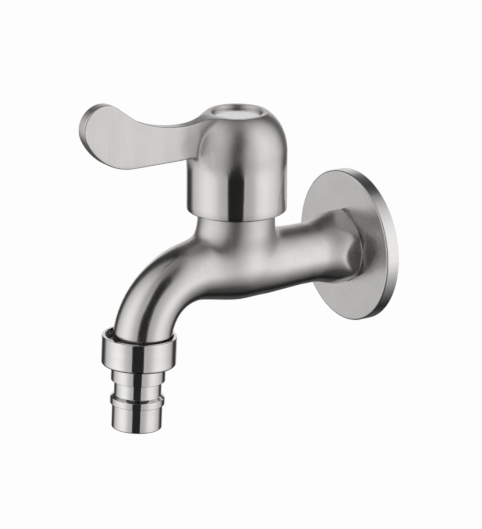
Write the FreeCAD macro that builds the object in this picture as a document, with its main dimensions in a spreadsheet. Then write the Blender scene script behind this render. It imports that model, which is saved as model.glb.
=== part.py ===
import FreeCAD, Part
import os
import re
from math import atan2, cos, hypot, pi, radians, sin, sqrt
import Sketcher

# A stainless bib tap for a half inch wall outlet: a cast body with a hooked spout, a round
# wall flange, a quarter turn ceramic headwork under a bell handle with a flat lever, and a
# collar nut that holds a stepped hose nozzle to the end of the spout.
#
# Origin: the centre of the wall flange's back face, on the axis of the inlet.
# +Z is up, -Y points away from the wall, towards the spout. Lengths are in millimetres.

doc = FreeCAD.newDocument("bib_tap")
sheet = doc.addObject("Spreadsheet::Sheet", "Sizes")

# Driving dimensions: name, value, what it is
SIZES = [
    # clearances between pieces
    ("running_fit", 0.05, "radial clearance of a shaft that turns in its bore"),
    ("seat_play", 0.1, "clearance between a piece and the pocket that locates it"),
    ("thread_play", 0.05, "radial clearance between mated threads at their major diameter"),
    ("face_play", 0.05, "axial clearance between faces that slide over each other"),
    # inlet and tube
    ("inlet_thread_radius", 10.48, "G 1/2 major radius"),
    ("inlet_thread_reach", 11, "how far the thread enters the wall"),
    ("inlet_relief_radius", 10.1, "plain relief under the wall flange"),
    ("inlet_bore_radius", 7.5, "water passage in the inlet"),
    ("collar_radius", 13.8, "turned round of the wrench collar"),
    ("collar_flat", 12.7, "half the width across the wrench flats"),
    ("collar_land", 2.4, "length of the collar at its full radius"),
    ("collar_taper", 10, "length of the cone between the collar and the tube"),
    ("tube_radius", 11, "tube between the wall and the neck"),
    ("tube_parallel", 8, "straight length of the tube past the collar's cone"),
    ("tube_swell", 1.1, "how much the tube widens as it meets the valve chamber"),
    # neck and valve chamber
    ("valve_reach", 51.9, "from the wall to the axis of the valve and the handle"),
    ("neck_radius", 13.85, "outside of the neck"),
    ("neck_top", 23.5, "height of the neck's top face"),
    ("chamber_round_height", 1.4, "height of the centre of the rounded chamber bottom"),
    ("chamber_radius", 10.9, "water chamber round the headwork"),
    ("headwork_thread_radius", 10.48, "G 1/2 thread of the headwork"),
    ("headwork_thread_length", 10.5, "threaded depth of the neck"),
    ("seat_height", 1, "height of the seat that the headwork presses on"),
    ("seat_web", 2.5, "thickness of the web under the seat"),
    ("seat_hole_radius", 5.5, "water hole through the seat"),
    ("channel_end_wall", 3, "metal between the inlet bore and the chamber"),
    # spout
    ("spout_bend_radius", 22.7, "centreline radius of the spout's bend"),
    ("spout_reach", 39.7, "from the valve's axis to the furthest point of the bend's centreline"),
    ("spout_root_radius", 10.9, "spout where it leaves the chamber"),
    ("spout_waist_radius", 10.25, "spout halfway round its bend"),
    ("spout_end_radius", 10.7, "spout where it enters the collar nut"),
    ("spout_bore_radius", 7.3, "water passage in the spout"),
    ("spout_crown", 1, "height of the top of the bend's centreline above the inlet's"),
    ("spout_blend", 5, "fillet between the spout and the neck"),
    ("tube_blend", 2.5, "fillet between the tube and the neck"),
    # outlet, measured down its own tilted axis from the rim of the collar nut
    ("outlet_reach", 40.9, "from the valve's axis to the outlet's axis at the rim of the nut"),
    ("outlet_drop", 18.7, "how far the rim of the nut is below the inlet's axis"),
    ("outlet_tilt", 2.16, "degrees that the outlet leans away from the wall"),
    ("outlet_thread_radius", 12, "M24 x 1 major radius"),
    ("outlet_thread_start", 2.4, "first turn below the rim"),
    ("outlet_thread_length", 4, "engaged thread"),
    # collar nut and hose nozzle
    ("nut_radius", 13.4, "outside of the collar nut"),
    ("nut_height", 10.7, "height of the collar nut"),
    ("nut_rim", 1.15, "wall of the nut round its open rim"),
    ("nut_ledge", 1.5, "thickness of the ledge that carries the nozzle"),
    ("nut_rounding", 0.9, "rounding of the nut's lower edge"),
    ("gasket_thickness", 1.45, "rubber washer under the spout"),
    ("nozzle_flange_radius", 11.3, "flange of the nozzle inside the nut"),
    ("nozzle_shoulder_radius", 9.75, "plain part of the nozzle under the nut"),
    ("nozzle_shoulder_length", 5.9, "visible length of the plain part"),
    ("nozzle_groove_radius", 8.5, "groove for the hose clip"),
    ("nozzle_groove_length", 5.2, "length of the groove"),
    ("nozzle_ridge_radius", 9.8, "ridge that grips the hose"),
    ("nozzle_ridge_length", 3.5, "length of the ridge with its cone"),
    ("nozzle_ridge_cone", 1.1, "length of the ridge's upper cone"),
    ("nozzle_end_radius", 9.05, "end that the hose slides over first"),
    ("nozzle_end_length", 9, "length of that end"),
    ("nozzle_bore_radius", 7, "water passage in the nozzle"),
    ("nozzle_edge", 0.5, "bevel at the nozzle's lower edge"),
    # wall flange
    ("flange_radius", 27.8, "outside of the wall flange"),
    ("flange_depth", 5.1, "depth of the wall flange"),
    ("flange_wall", 1.4, "sheet thickness of the wall flange"),
    ("flange_edge", 0.7, "rounding of the flange's front edge"),
    # handle: heights are above the inlet's axis
    ("bell_radius", 18, "outside of the bell"),
    ("bell_bottom", 21.7, "height of the bell's open edge"),
    ("bell_neck_gap", 1.35, "clearance between the neck and the inside of the bell"),
    ("bell_edge", 0.6, "rounding of the bell's open edge"),
    ("shoulder_drop", 14.2, "from the flat top down to where the bell starts to curve in"),
    ("shoulder_radius", 18.96, "lower radius of the bell's shoulder"),
    ("shoulder_turn", 25.5, "degrees of the lower radius"),
    ("crown_flat", 2.54, "radius of the crown's flat middle, before the top is cut"),
    ("bell_top", 57.5, "height of the flat top"),
    ("hollow_drop", 12.8, "from the flat top down to where the bell's hollow narrows"),
    ("hollow_cone", 5.8, "height over which it narrows"),
    ("hub_radius", 6.5, "outside of the splined hub"),
    ("hub_drop", 8.2, "length of the hub's spline"),
    ("hub_web", 2, "metal between the spline and the screw's seat"),
    ("screw_well_radius", 6, "well for the screw's head"),
    ("cap_border", 8.87, "from the bell's side in to the edge of the index cap"),
    ("cap_thickness", 1.3, "index cap"),
    ("cap_sink", 1.2, "how deep the cap lies under the flat top"),
    # lever: reaches are from the valve's axis, heights from the bell's flat top
    ("lever_thickness", 4.2, "thickness of the lever"),
    ("lever_underside", 14, "how far the lever's underside is below the flat top"),
    ("lever_toe_start", 44, "reach where the underside starts to curl up"),
    ("lever_toe_radius", 22, "radius of the curl"),
    ("lever_tip_radius", 8.6, "radius of the tip"),
    ("lever_tip_top", 10.7, "height of the tip above the flat top"),
    ("lever_slope", 37, "degrees of the slope behind the tip"),
    ("lever_hollow_radius", 24, "first radius of the dip"),
    ("lever_dip_radius", 45, "second radius of the dip"),
    ("lever_dip_turn", 22.57, "degrees of slope where the two radii meet"),
    ("lever_dip_reach", 23, "reach of the lowest point of the dip"),
    ("lever_dip", 1.5, "how far the lowest point of the dip is below the flat top"),
    ("lever_rise_radius", 25, "radii of the rise to the bell's flat top"),
    ("lever_edge", 0.5, "rounding of the lever's edges"),
    ("lever_blend", 4, "fillet between the lever and the bell"),
    # headwork
    ("sleeve_radius", 8.6, "outside of the headwork's sleeve"),
    ("disc_radius", 7.6, "ceramic discs"),
    ("seal_height", 2.4, "rubber seal on the seat"),
    ("seal_grip", 1.2, "how deep the seal sits in the sleeve"),
    ("seal_radius", 8.4, "outside of the rubber seal"),
    ("seal_bore_radius", 6.2, "inside of the rubber seal"),
    ("fixed_disc_height", 3, "lower ceramic disc"),
    ("moving_disc_height", 2, "upper ceramic disc"),
    ("port_inner_radius", 1.6, "inner edge of the discs' ports"),
    ("port_outer_radius", 5.7, "outer edge of the discs' ports"),
    ("port_angle", 84, "degrees that a port spans"),
    ("window_height", 2.8, "height of the headwork's side windows"),
    ("window_width", 9, "width of the side windows"),
    ("water_gap", 2.2, "free height between the moving disc and the spindle's foot"),
    ("foot_radius", 7.4, "foot of the spindle"),
    ("foot_height", 1.7, "foot of the spindle"),
    ("tang_width", 4, "width of the spindle's drive tangs"),
    ("tang_grip", 1.3, "how deep the tangs sit in the moving disc"),
    ("washer_height", 0.8, "thrust washer"),
    ("housing_seal_height", 1, "fibre ring under the hexagon"),
    ("housing_seal_radius", 12.4, "outside of the fibre ring"),
    ("hexagon_height", 6, "headwork's hexagon"),
    ("hexagon_flat", 10.5, "half the width across the hexagon"),
    ("housing_neck_radius", 7.4, "headwork above the hexagon"),
    ("hub_gap", 1.3, "gap between the headwork's clip and the handle's hub"),
    ("spindle_radius", 4.9, "spindle in the housing"),
    ("ring_section", 1.2, "section of the O-rings"),
    ("ring_height", 17.5, "height of the lower O-ring"),
    ("ring_pitch", 5, "distance between the two O-rings"),
    ("spline_radius", 4, "tips of the spindle's spline"),
    ("spline_depth", 0.45, "depth of the spline"),
    ("spline_teeth", 20, "teeth of the spline"),
    ("clip_height", 1, "retaining clip"),
    ("clip_groove_radius", 3.3, "bottom of the clip's groove"),
    ("clip_radius", 5.9, "outside of the retaining clip"),
    ("stop_height", 1.5, "stop washer and the housing's stops"),
    ("clip_opening", 70, "degrees of the clip's gap"),
    ("stop_disc_radius", 5.6, "round part of the stop washer"),
    ("stop_radius", 7.1, "reach of the stop washer's lobe"),
    ("stop_angle", 40, "degrees that the lobe spans"),
    ("quarter_turn", 90, "degrees that the handle turns"),
    ("screw_radius", 2.5, "M5 handle screw"),
    ("screw_length", 10, "length under the head"),
    ("screw_washer_radius", 4.6, "outside of the split washer"),
    ("screw_head_radius", 4.4, "head of the handle screw"),
    ("screw_head_height", 2.5, "head of the handle screw"),
    ("screw_socket_flat", 1.5, "half the width across the screw's hexagon socket"),
    ("screw_washer_height", 1.1, "split washer"),
    ("screw_gap", 0.3, "gap between the screw's head and the cap"),
]

for row, (alias, number, note) in enumerate(SIZES, start=1):
    sheet.set("A%d" % row, note)
    sheet.set("B%d" % row, str(number))
    sheet.setAlias("B%d" % row, alias)
doc.recompute()

NAMES = [alias for alias, number, note in SIZES]


def bound(formula):
    """The formula with each name pointing at its cell in the sheet."""
    return re.sub(r"[a-z]+(_[a-z]+)*", lambda word: "Sizes." + word.group()
                  if word.group() in NAMES else word.group(), str(formula))


def value(formula):
    """What the formula comes to now."""
    return float(sheet.evalExpression(bound(formula)))


def new_body(label, reach="0", height="0", tilt="0"):
    """A body whose own upright axis stands at a reach from the wall and a height."""
    body = doc.addObject("PartDesign::Body", label)
    body.Label = label
    body.Placement.Rotation = FreeCAD.Rotation(FreeCAD.Vector(1, 0, 0), -value(tilt))
    body.setExpression("Placement.Base.y", bound("-(%s)" % reach))
    body.setExpression("Placement.Base.z", bound(height))
    if tilt != "0":
        body.setExpression("Placement.Rotation.Angle", bound("-(%s)" % tilt))
    return body


def origin_plane(body, role):
    return [item for item in body.Origin.OriginFeatures if item.Role == role][0]


def new_sketch(body, name, role, offset="0"):
    """A sketch on one of the body's own planes, moved along its normal by the offset."""
    sketch = body.newObject("Sketcher::SketchObject", name)
    sketch.AttachmentSupport = [(origin_plane(body, role), "")]
    sketch.MapMode = "FlatFace"
    if offset != "0":
        sketch.setExpression("AttachmentOffset.Base.z", bound(offset))
    return sketch


def pin_point(sketch, piece, end, across, up):
    """Holds one end of a piece at a place given by two formulas."""
    for kind, formula in (("DistanceX", across), ("DistanceY", up)):
        index = sketch.addConstraint(
            Sketcher.Constraint(kind, -1, 1, piece, end, value(formula)))
        sketch.setExpression("Constraints[%d]" % index, bound(formula))


def pin_height(sketch, piece, end, up):
    index = sketch.addConstraint(Sketcher.Constraint("DistanceY", -1, 1, piece, end, value(up)))
    sketch.setExpression("Constraints[%d]" % index, bound(up))


def hold_size(sketch, kind, piece, formula):
    """Binds a radius or another size of one piece to a formula."""
    index = sketch.addConstraint(Sketcher.Constraint(kind, piece, value(formula)))
    sketch.setExpression("Constraints[%d]" % index, bound(formula))


def arc_between(start, end, radius):
    """The arc of a signed radius from start to end; a positive one turns left."""
    across, up = end[0] - start[0], end[1] - start[1]
    chord = hypot(across, up)
    rise = sqrt(max(radius * radius - chord * chord / 4, 0)) * (1 if radius > 0 else -1)
    centre = ((start[0] + end[0]) / 2 - up / chord * rise,
              (start[1] + end[1]) / 2 + across / chord * rise)
    first = atan2(start[1] - centre[1], start[0] - centre[0])
    last = atan2(end[1] - centre[1], end[0] - centre[0])
    if radius < 0:
        first, last = last, first
    circle = Part.Circle(FreeCAD.Vector(centre[0], centre[1], 0),
                         FreeCAD.Vector(0, 0, 1), abs(radius))
    return Part.ArcOfCircle(circle, first, last)


def outline(sketch, corners):
    """A closed outline. A corner is two formulas, and a third is the signed radius of
    the arc that leads on to the next corner."""
    places = [(value(corner[0]), value(corner[1])) for corner in corners]
    count = len(corners)
    before = sketch.GeometryCount
    starts, ends = [], []
    for index, corner in enumerate(corners):
        here, there = places[index], places[(index + 1) % count]
        if len(corner) == 3:
            radius = value(corner[2])
            piece = sketch.addGeometry(arc_between(here, there, radius), False)
            hold_size(sketch, "Radius", piece, "abs(%s)" % corner[2])
            starts.append(1 if radius > 0 else 2)
            ends.append(2 if radius > 0 else 1)
        else:
            piece = sketch.addGeometry(Part.LineSegment(
                FreeCAD.Vector(here[0], here[1], 0),
                FreeCAD.Vector(there[0], there[1], 0)), False)
            starts.append(1)
            ends.append(2)
    for index, corner in enumerate(corners):
        after = (index + 1) % count
        sketch.addConstraint(Sketcher.Constraint(
            "Coincident", before + index, ends[index], before + after, starts[after]))
        pin_point(sketch, before + index, starts[index], corner[0], corner[1])
    return sketch


def turned(body, name, corners, kind="Revolution", role="XZ_Plane", axis="V_Axis", offset="0"):
    """Turns an outline about an axis of its sketch, such as the body's upright axis."""
    sketch = new_sketch(body, name + "_outline", role, offset)
    return turn_outline(body, name, sketch, corners, kind, axis)


def turn_outline(body, name, sketch, corners, kind="Revolution", axis="V_Axis"):
    outline(sketch, corners)
    feature = body.newObject("PartDesign::" + kind, name)
    feature.Profile = sketch
    feature.ReferenceAxis = (sketch, [axis])
    feature.Angle = 360
    return feature


def tilted_sketch(body, name):
    """A sketch whose upright axis is the outlet's, with its origin at the nut's rim."""
    sketch = new_sketch(body, name, "YZ_Plane")
    sketch.AttachmentOffset = FreeCAD.Placement(
        FreeCAD.Vector(0, 0, 0),
        FreeCAD.Rotation(FreeCAD.Vector(0, 0, 1), -value("outlet_tilt")))
    sketch.setExpression("AttachmentOffset.Base.x", bound("-(valve_reach + outlet_reach)"))
    sketch.setExpression("AttachmentOffset.Base.y", bound("-outlet_drop"))
    sketch.setExpression("AttachmentOffset.Rotation.Angle", bound("-outlet_tilt"))
    return sketch


def tube_corners(inner, outer, low, high):
    return [(inner, low), (outer, low), (outer, high), (inner, high)]


def circle_sketch(sketch, radius, across="0", up="0"):
    piece = sketch.addGeometry(Part.Circle(
        FreeCAD.Vector(value(across), value(up), 0),
        FreeCAD.Vector(0, 0, 1), value(radius)), False)
    pin_point(sketch, piece, 3, across, up)
    hold_size(sketch, "Radius", piece, radius)
    return sketch


def extruded(body, name, sketch, length, kind="Pad", both=False, backwards=False):
    feature = body.newObject("PartDesign::" + kind, name)
    feature.Profile = sketch
    feature.setExpression("Length", bound(length))
    feature.Midplane = both
    feature.Reversed = backwards
    return feature


def hexagon_corners(flat):
    """Corners of a hexagon with two flats square to the first axis."""
    across = "(%s) * 2 / sqrt(3)" % flat
    return [("%s * cos(%d)" % (across, turn), "%s * sin(%d)" % (across, turn))
            for turn in range(30, 390, 60)]


def rounded(body, name, base, edges, size, kind="Fillet"):
    """Rounds or bevels the named edges of the feature before it."""
    feature = body.newObject("PartDesign::" + kind, name)
    feature.Base = (base, edges)
    if kind == "Fillet":
        feature.setExpression("Radius", bound(size))
    else:
        feature.setExpression("Size", bound(size))
    return feature


def edges_where(feature, test):
    """Names of the feature's edges that pass the test."""
    return ["Edge%d" % index for index, edge in enumerate(feature.Shape.Edges, start=1)
            if not edge.Degenerated and test(edge)]


def around(body, feature, sketch, name, copies):
    """Repeats a feature round the upright axis of its sketch."""
    doc.recompute()
    pattern = body.newObject("PartDesign::PolarPattern", name)
    pattern.Originals = [feature]
    pattern.Axis = (sketch, ["N_Axis"])
    pattern.Angle = 360
    pattern.setExpression("Occurrences", bound(copies))
    body.Tip = pattern
    return pattern


# Tap body: the casting
def tap_body():
    body = new_body("tap_body")
    collar_back = "-flange_depth - face_play"
    cone_back = "-flange_depth - collar_land"
    tube_front = cone_back + " - collar_taper"
    turned(body, "inlet_and_tube", [
        ("inlet_thread_reach", "0"),
        ("inlet_thread_reach", "inlet_thread_radius - 1"),
        ("inlet_thread_reach - 1", "inlet_thread_radius"),
        ("0", "inlet_thread_radius"),
        ("-0.4", "inlet_relief_radius"),
        (collar_back, "inlet_relief_radius"),
        (collar_back, "collar_radius - 1.2"),
        (collar_back + " - 1.2", "collar_radius"),
        (cone_back, "collar_radius"),
        (tube_front, "tube_radius"),
        (tube_front + " - tube_parallel", "tube_radius"),
        ("-valve_reach", "tube_radius + tube_swell"),
        ("-valve_reach", "0"),
    ], role="YZ_Plane", axis="H_Axis")
    turned(body, "neck", [
        ("0", "chamber_round_height - neck_radius", "neck_radius"),
        ("neck_radius", "chamber_round_height"),
        ("neck_radius", "neck_top"),
        ("0", "neck_top"),
    ], offset="valve_reach")
    path = spout_path(body, "spout_path", "valve_reach", "0")
    outer = swept(body, "spout", "AdditivePipe", path,
                  ["spout_root_radius", "spout_waist_radius", "spout_end_radius"])
    doc.recompute()
    blend_into_neck(body, outer)
    outlet_thread(body)
    wrench_flats(body)
    water_passages(body)
    return body


def spout_path(body, name, start_reach, start_height):
    """A straight run from a start in the neck, tangent to the spout's single bend."""
    path = new_sketch(body, name, "YZ_Plane")
    centre_reach = "(valve_reach + spout_reach - spout_bend_radius)"
    centre_height = "(spout_crown - spout_bend_radius)"
    radius = value("spout_bend_radius")
    start = (-value(start_reach), value(start_height))
    centre = (-value(centre_reach), value(centre_height))
    away = hypot(centre[0] - start[0], centre[1] - start[1])
    run = sqrt(away * away - radius * radius)
    lean = atan2(centre[1] - start[1], centre[0] - start[0]) - atan2(radius, run)
    touch = (start[0] + run * cos(lean), start[1] + run * sin(lean))
    first = atan2(touch[1] - centre[1], touch[0] - centre[0])
    last = pi - radians(value("outlet_tilt"))
    circle = Part.Circle(FreeCAD.Vector(centre[0], centre[1], 0),
                         FreeCAD.Vector(0, 0, 1), radius)
    line = path.addGeometry(Part.LineSegment(
        FreeCAD.Vector(start[0], start[1], 0),
        FreeCAD.Vector(touch[0], touch[1], 0)), False)
    bend = path.addGeometry(Part.ArcOfCircle(circle, first, last), False)
    pin_point(path, line, 1, "-(%s)" % start_reach, start_height)
    path.addConstraint(Sketcher.Constraint("Tangent", line, 2, bend, 1))
    hold_size(path, "Radius", bend, "spout_bend_radius")
    pin_point(path, bend, 3, "-" + centre_reach, centre_height)
    pin_height(path, bend, 2, centre_height + " + spout_bend_radius * sin(outlet_tilt)")
    return path


def swept(body, name, kind, path, radii):
    """Carries round sections along the path: at its start, halfway round and at its end."""
    places = [("Edge1", 0), ("Edge2", 0.5), ("Edge2", 1)]
    quarter = FreeCAD.Rotation(FreeCAD.Vector(0, 0, 1), 90)
    sections = []
    for number, (radius, (edge, share)) in enumerate(zip(radii, places), start=1):
        section = body.newObject("Sketcher::SketchObject", "%s_section_%d" % (name, number))
        section.AttachmentSupport = [(path, edge)]
        section.MapMode = "NormalToEdge"
        section.MapPathParameter = share
        section.AttachmentOffset = FreeCAD.Placement(FreeCAD.Vector(0, 0, 0), quarter)
        circle_sketch(section, radius)
        sections.append(section)
    doc.recompute()
    pipe = body.newObject("PartDesign::" + kind, name)
    pipe.Profile = sections[0]
    pipe.Spine = (path, ["Edge1", "Edge2"])
    if len(sections) > 1:
        pipe.Sections = [(section, [""]) for section in sections[1:]]
        pipe.Transformation = "Multisection"
    return pipe


def blend_into_neck(body, base):
    """Fillets where the spout and the tube run into the neck."""
    axis = -value("valve_reach")
    middle = value("chamber_round_height")
    neck = value("neck_radius")

    def on_neck(edge, side):
        points = edge.discretize(5)
        heights = [point.z for point in points]
        away = [hypot(point.x, point.y - axis) if point.z > middle
                else (point - FreeCAD.Vector(0, axis, middle)).Length for point in points]
        return (max(heights) - min(heights) > 0.01
                and all(abs(one - neck) < 0.02 for one in away)
                and all((point.y - axis) * side > 1 for point in points))

    first = rounded(body, "spout_fillet", base,
                    edges_where(base, lambda edge: on_neck(edge, -1)), "spout_blend")
    doc.recompute()
    rounded(body, "tube_fillet", first,
            edges_where(first, lambda edge: on_neck(edge, 1)), "tube_blend")
    doc.recompute()


def outlet_thread(body):
    """The short threaded ring that the collar nut screws onto."""
    sketch = tilted_sketch(body, "outlet_thread_outline")
    end = "-outlet_thread_start - outlet_thread_length"
    turn_outline(body, "outlet_thread", sketch, [
        ("0", "-outlet_thread_start + 0.5"),
        ("outlet_thread_radius - 1", "-outlet_thread_start + 0.5"),
        ("outlet_thread_radius", "-outlet_thread_start - 0.5"),
        ("outlet_thread_radius", end + " + 0.6"),
        ("outlet_thread_radius - 0.6", end),
        ("0", end),
    ])


def wrench_flats(body):
    """Cuts the collar against the wall to a hexagon with rounded corners."""
    sketch = new_sketch(body, "flats_outline", "XZ_Plane", "flange_depth")
    outline(sketch, hexagon_corners("collar_flat"))
    circle_sketch(sketch, "collar_radius + 3")
    extruded(body, "wrench_flats", sketch, "collar_land + collar_taper * 0.7",
             kind="Pocket", backwards=True)


def water_passages(body):
    """The way in under the seat, up through it, round the headwork and out of the spout."""
    inlet_end = "-valve_reach + chamber_radius + channel_end_wall"
    web_under = "(seat_height - seat_web)"
    half_width = "sqrt(inlet_bore_radius ^ 2 - %s ^ 2)" % web_under
    turned(body, "inlet_bore", [
        ("inlet_thread_reach + 1", "0"),
        ("inlet_thread_reach + 1", "inlet_bore_radius"),
        (inlet_end, "inlet_bore_radius"),
        (inlet_end, "0"),
    ], kind="Groove", role="YZ_Plane", axis="H_Axis")
    channel = new_sketch(body, "channel_outline", "XZ_Plane", "-(%s) - 1" % inlet_end)
    outline(channel, [("-" + half_width, web_under, "inlet_bore_radius"),
                      (half_width, web_under)])
    extruded(body, "channel_under_seat", channel,
             "chamber_radius + channel_end_wall + seat_hole_radius + 1",
             kind="Pocket", backwards=True)
    turned(body, "seat_hole", [
        ("0", web_under + " - 1"),
        ("seat_hole_radius", web_under + " - 1"),
        ("seat_hole_radius", "seat_height + 1"),
        ("0", "seat_height + 1"),
    ], kind="Groove", offset="valve_reach")
    thread_bore = "headwork_thread_radius + thread_play"
    thread_low = "neck_top - headwork_thread_length"
    turned(body, "chamber", [
        ("0", "seat_height"),
        ("chamber_radius", "seat_height"),
        ("chamber_radius", thread_low),
        (thread_bore, thread_low),
        (thread_bore, "neck_top - 0.5"),
        (thread_bore + " + 0.5", "neck_top"),
        ("0", "neck_top"),
    ], kind="Groove", offset="valve_reach")
    path = spout_path(body, "bore_path", "valve_reach + seat_hole_radius + channel_end_wall",
                      "spout_crown / 2")
    swept(body, "spout_bore", "SubtractivePipe", path, ["spout_bore_radius"])
    end = "-outlet_thread_start - outlet_thread_length - 1"
    sketch = tilted_sketch(body, "outlet_bore_outline")
    turn_outline(body, "outlet_bore", sketch,
                 tube_corners("0", "spout_bore_radius", end, "-outlet_thread_start + 1.4"),
                 kind="Groove")


# Wall flange: a pressed shell, open towards the wall
def wall_flange():
    body = new_body("wall_flange")
    hole = "inlet_thread_radius + running_fit"
    turned(body, "shell", [
        ("-flange_depth", hole),
        ("-flange_depth", "flange_radius - flange_edge", "-flange_edge"),
        ("-flange_depth + flange_edge", "flange_radius"),
        ("0", "flange_radius"),
        ("0", "flange_radius - flange_wall"),
        ("-flange_depth + flange_wall", "flange_radius - flange_wall"),
        ("-flange_depth + flange_wall", hole),
    ], role="YZ_Plane", axis="H_Axis")
    return body


# Handle: heights of what its screw clamps, from the top downwards
CAP_TOP = "(bell_top - cap_sink)"
CAP_LOW = "(%s - cap_thickness)" % CAP_TOP
CAP_RADIUS = "(bell_radius - cap_border)"
HEAD_TOP = "(%s - screw_gap)" % CAP_LOW
HEAD_LOW = "(%s - screw_head_height)" % HEAD_TOP
WELL_FLOOR = "(%s - screw_washer_height)" % HEAD_LOW
SPLINE_TOP = "(%s - hub_web)" % WELL_FLOOR
HUB_LOW = "(%s - hub_drop)" % SPLINE_TOP
SPINDLE_TOP = "(%s - 0.4)" % SPLINE_TOP

# Headwork: heights of its pieces, from the seat upwards
SEAL_TOP = "(seat_height + seal_height)"
FIXED_TOP = "(%s + fixed_disc_height)" % SEAL_TOP
MOVING_LOW = "(%s + face_play)" % FIXED_TOP
MOVING_TOP = "(%s + moving_disc_height)" % MOVING_LOW
FOOT_LOW = "(%s + water_gap)" % MOVING_TOP
FOOT_TOP = "(%s + foot_height)" % FOOT_LOW
WASHER_LOW = "(%s + face_play)" % FOOT_TOP
SHOULDER = "(%s + washer_height + face_play)" % WASHER_LOW
HEX_LOW = "(neck_top + housing_seal_height)"
SHANK_BORE = "(spindle_radius + running_fit)"
SLEEVE_BORE = "(disc_radius + seat_play)"

# and the clip, the stop washer and the housing's top, from the handle's hub downwards
CLIP_TOP = "(%s - hub_gap)" % HUB_LOW
CLIP_LOW = "(%s - clip_height)" % CLIP_TOP
STOP_TOP = "(%s - face_play)" % CLIP_LOW
STOP_LOW = "(%s - stop_height)" % STOP_TOP
HOUSING_TOP = "(%s - face_play)" % STOP_LOW


def sector_corners(inner, outer, start, span):
    """A ring sector in two equal pieces, so that it may span more than half a turn."""
    turns = [start, "(%s + (%s) / 2)" % (start, span), "(%s + %s)" % (start, span)]

    def place(radius, turn):
        return "(%s) * cos(%s)" % (radius, turn), "(%s) * sin(%s)" % (radius, turn)
    return [
        place(outer, turns[0]) + (outer,),
        place(outer, turns[1]) + (outer,),
        place(outer, turns[2]),
        place(inner, turns[2]) + ("-(%s)" % inner,),
        place(inner, turns[1]) + ("-(%s)" % inner,),
        place(inner, turns[0]),
    ]


def flat_sketch(body, name, height, turn="0"):
    """A level sketch at a height, turned about the upright axis by some degrees."""
    sketch = new_sketch(body, name, "XY_Plane", height)
    if turn != "0":
        sketch.AttachmentOffset.Rotation = FreeCAD.Rotation(FreeCAD.Vector(0, 0, 1), 1)
        sketch.setExpression("AttachmentOffset.Rotation.Angle", bound(turn))
    return sketch


def valve_housing():
    body = new_body("valve_housing", "valve_reach")
    thread_low = "neck_top - headwork_thread_length + 0.6"
    turned(body, "housing", [
        (SLEEVE_BORE, SEAL_TOP + " - seal_grip"),
        ("sleeve_radius", SEAL_TOP + " - seal_grip"),
        ("sleeve_radius", thread_low + " - 1"),
        ("headwork_thread_radius - 0.8", thread_low),
        ("headwork_thread_radius", thread_low + " + 0.8"),
        ("headwork_thread_radius", HEX_LOW),
        ("housing_neck_radius", HEX_LOW),
        ("housing_neck_radius", HOUSING_TOP),
        (SHANK_BORE, HOUSING_TOP),
        (SHANK_BORE, SHOULDER),
        (SLEEVE_BORE, SHOULDER),
    ])
    hexagon = flat_sketch(body, "hexagon_outline", HEX_LOW)
    outline(hexagon, hexagon_corners("hexagon_flat"))
    circle_sketch(hexagon, "housing_neck_radius - 1")
    extruded(body, "hexagon", hexagon, "hexagon_height")
    window = new_sketch(body, "window_outline", "XZ_Plane")
    low = MOVING_TOP + " - 0.3"
    outline(window, [("-window_width / 2", low), ("window_width / 2", low),
                     ("window_width / 2", low + " + window_height"),
                     ("-window_width / 2", low + " + window_height")])
    extruded(body, "windows", window, "sleeve_radius * 3", kind="Pocket", both=True)
    # the stops leave room for the lobe of the stop washer and its quarter turn
    crown = flat_sketch(body, "stops_outline", HOUSING_TOP)
    outline(crown, sector_corners(
        "clip_radius + seat_play", "housing_neck_radius",
        "(91 + quarter_turn + stop_angle / 2)", "(358 - quarter_turn - stop_angle)"))
    extruded(body, "stops", crown, "stop_height")
    return body


def ring(label, inner, outer, low, high, reach="valve_reach", height="0", tilt="0"):
    """A plain turned ring on the valve's axis, or on another upright or tilted one."""
    body = new_body(label, reach, height, tilt)
    turned(body, "ring", tube_corners(inner, outer, low, high))
    return body


def o_ring(label, height):
    """A round section ring in its groove on the spindle."""
    torus = doc.addObject("Part::Torus", label)
    torus.Label = label
    torus.setExpression("Radius1", bound("spindle_radius - ring_section / 2 + running_fit / 5"))
    torus.setExpression("Radius2", bound("ring_section / 2"))
    torus.setExpression("Placement.Base.y", bound("-valve_reach"))
    torus.setExpression("Placement.Base.z", bound(height))
    return torus


def ported_disc(label, low, thickness, turn):
    """A ceramic disc with two sector ports, the first centred at a turn in degrees."""
    body = new_body(label, "valve_reach")
    sketch = flat_sketch(body, "disc_outline", low)
    circle_sketch(sketch, "disc_radius")
    extruded(body, "disc", sketch, thickness)
    ports = flat_sketch(body, "ports_outline", low)
    for start in (turn, turn + 180):
        outline(ports, sector_corners(
            "port_inner_radius", "port_outer_radius",
            "(%d - port_angle / 2)" % start, "port_angle"))
    extruded(body, "ports", ports, thickness, kind="Pocket", backwards=True)
    return body


def moving_disc():
    body = ported_disc("moving_disc", MOVING_LOW, "moving_disc_height", 90)
    notches = flat_sketch(body, "notches_outline", MOVING_TOP)
    half = "(tang_width / 2 + seat_play)"
    for side in (1, -1):
        near = "%d * (port_outer_radius + 0.1)" % side
        far = "%d * (disc_radius + 1)" % side
        outline(notches, [(near, "-" + half), (far, "-" + half), (far, half), (near, half)])
    extruded(body, "notches", notches, "tang_grip + 0.2", kind="Pocket")
    return body


def seat_seal():
    """The rubber ring on the seat, stepped so that it holds in the headwork's sleeve."""
    body = new_body("seat_seal", "valve_reach")
    step = SEAL_TOP + " - seal_grip - face_play"
    turned(body, "seal", [
        ("seal_bore_radius", "seat_height"),
        ("seal_radius", "seat_height"),
        ("seal_radius", step),
        ("disc_radius", step),
        ("disc_radius", SEAL_TOP),
        ("seal_bore_radius", SEAL_TOP),
    ])
    return body


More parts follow.
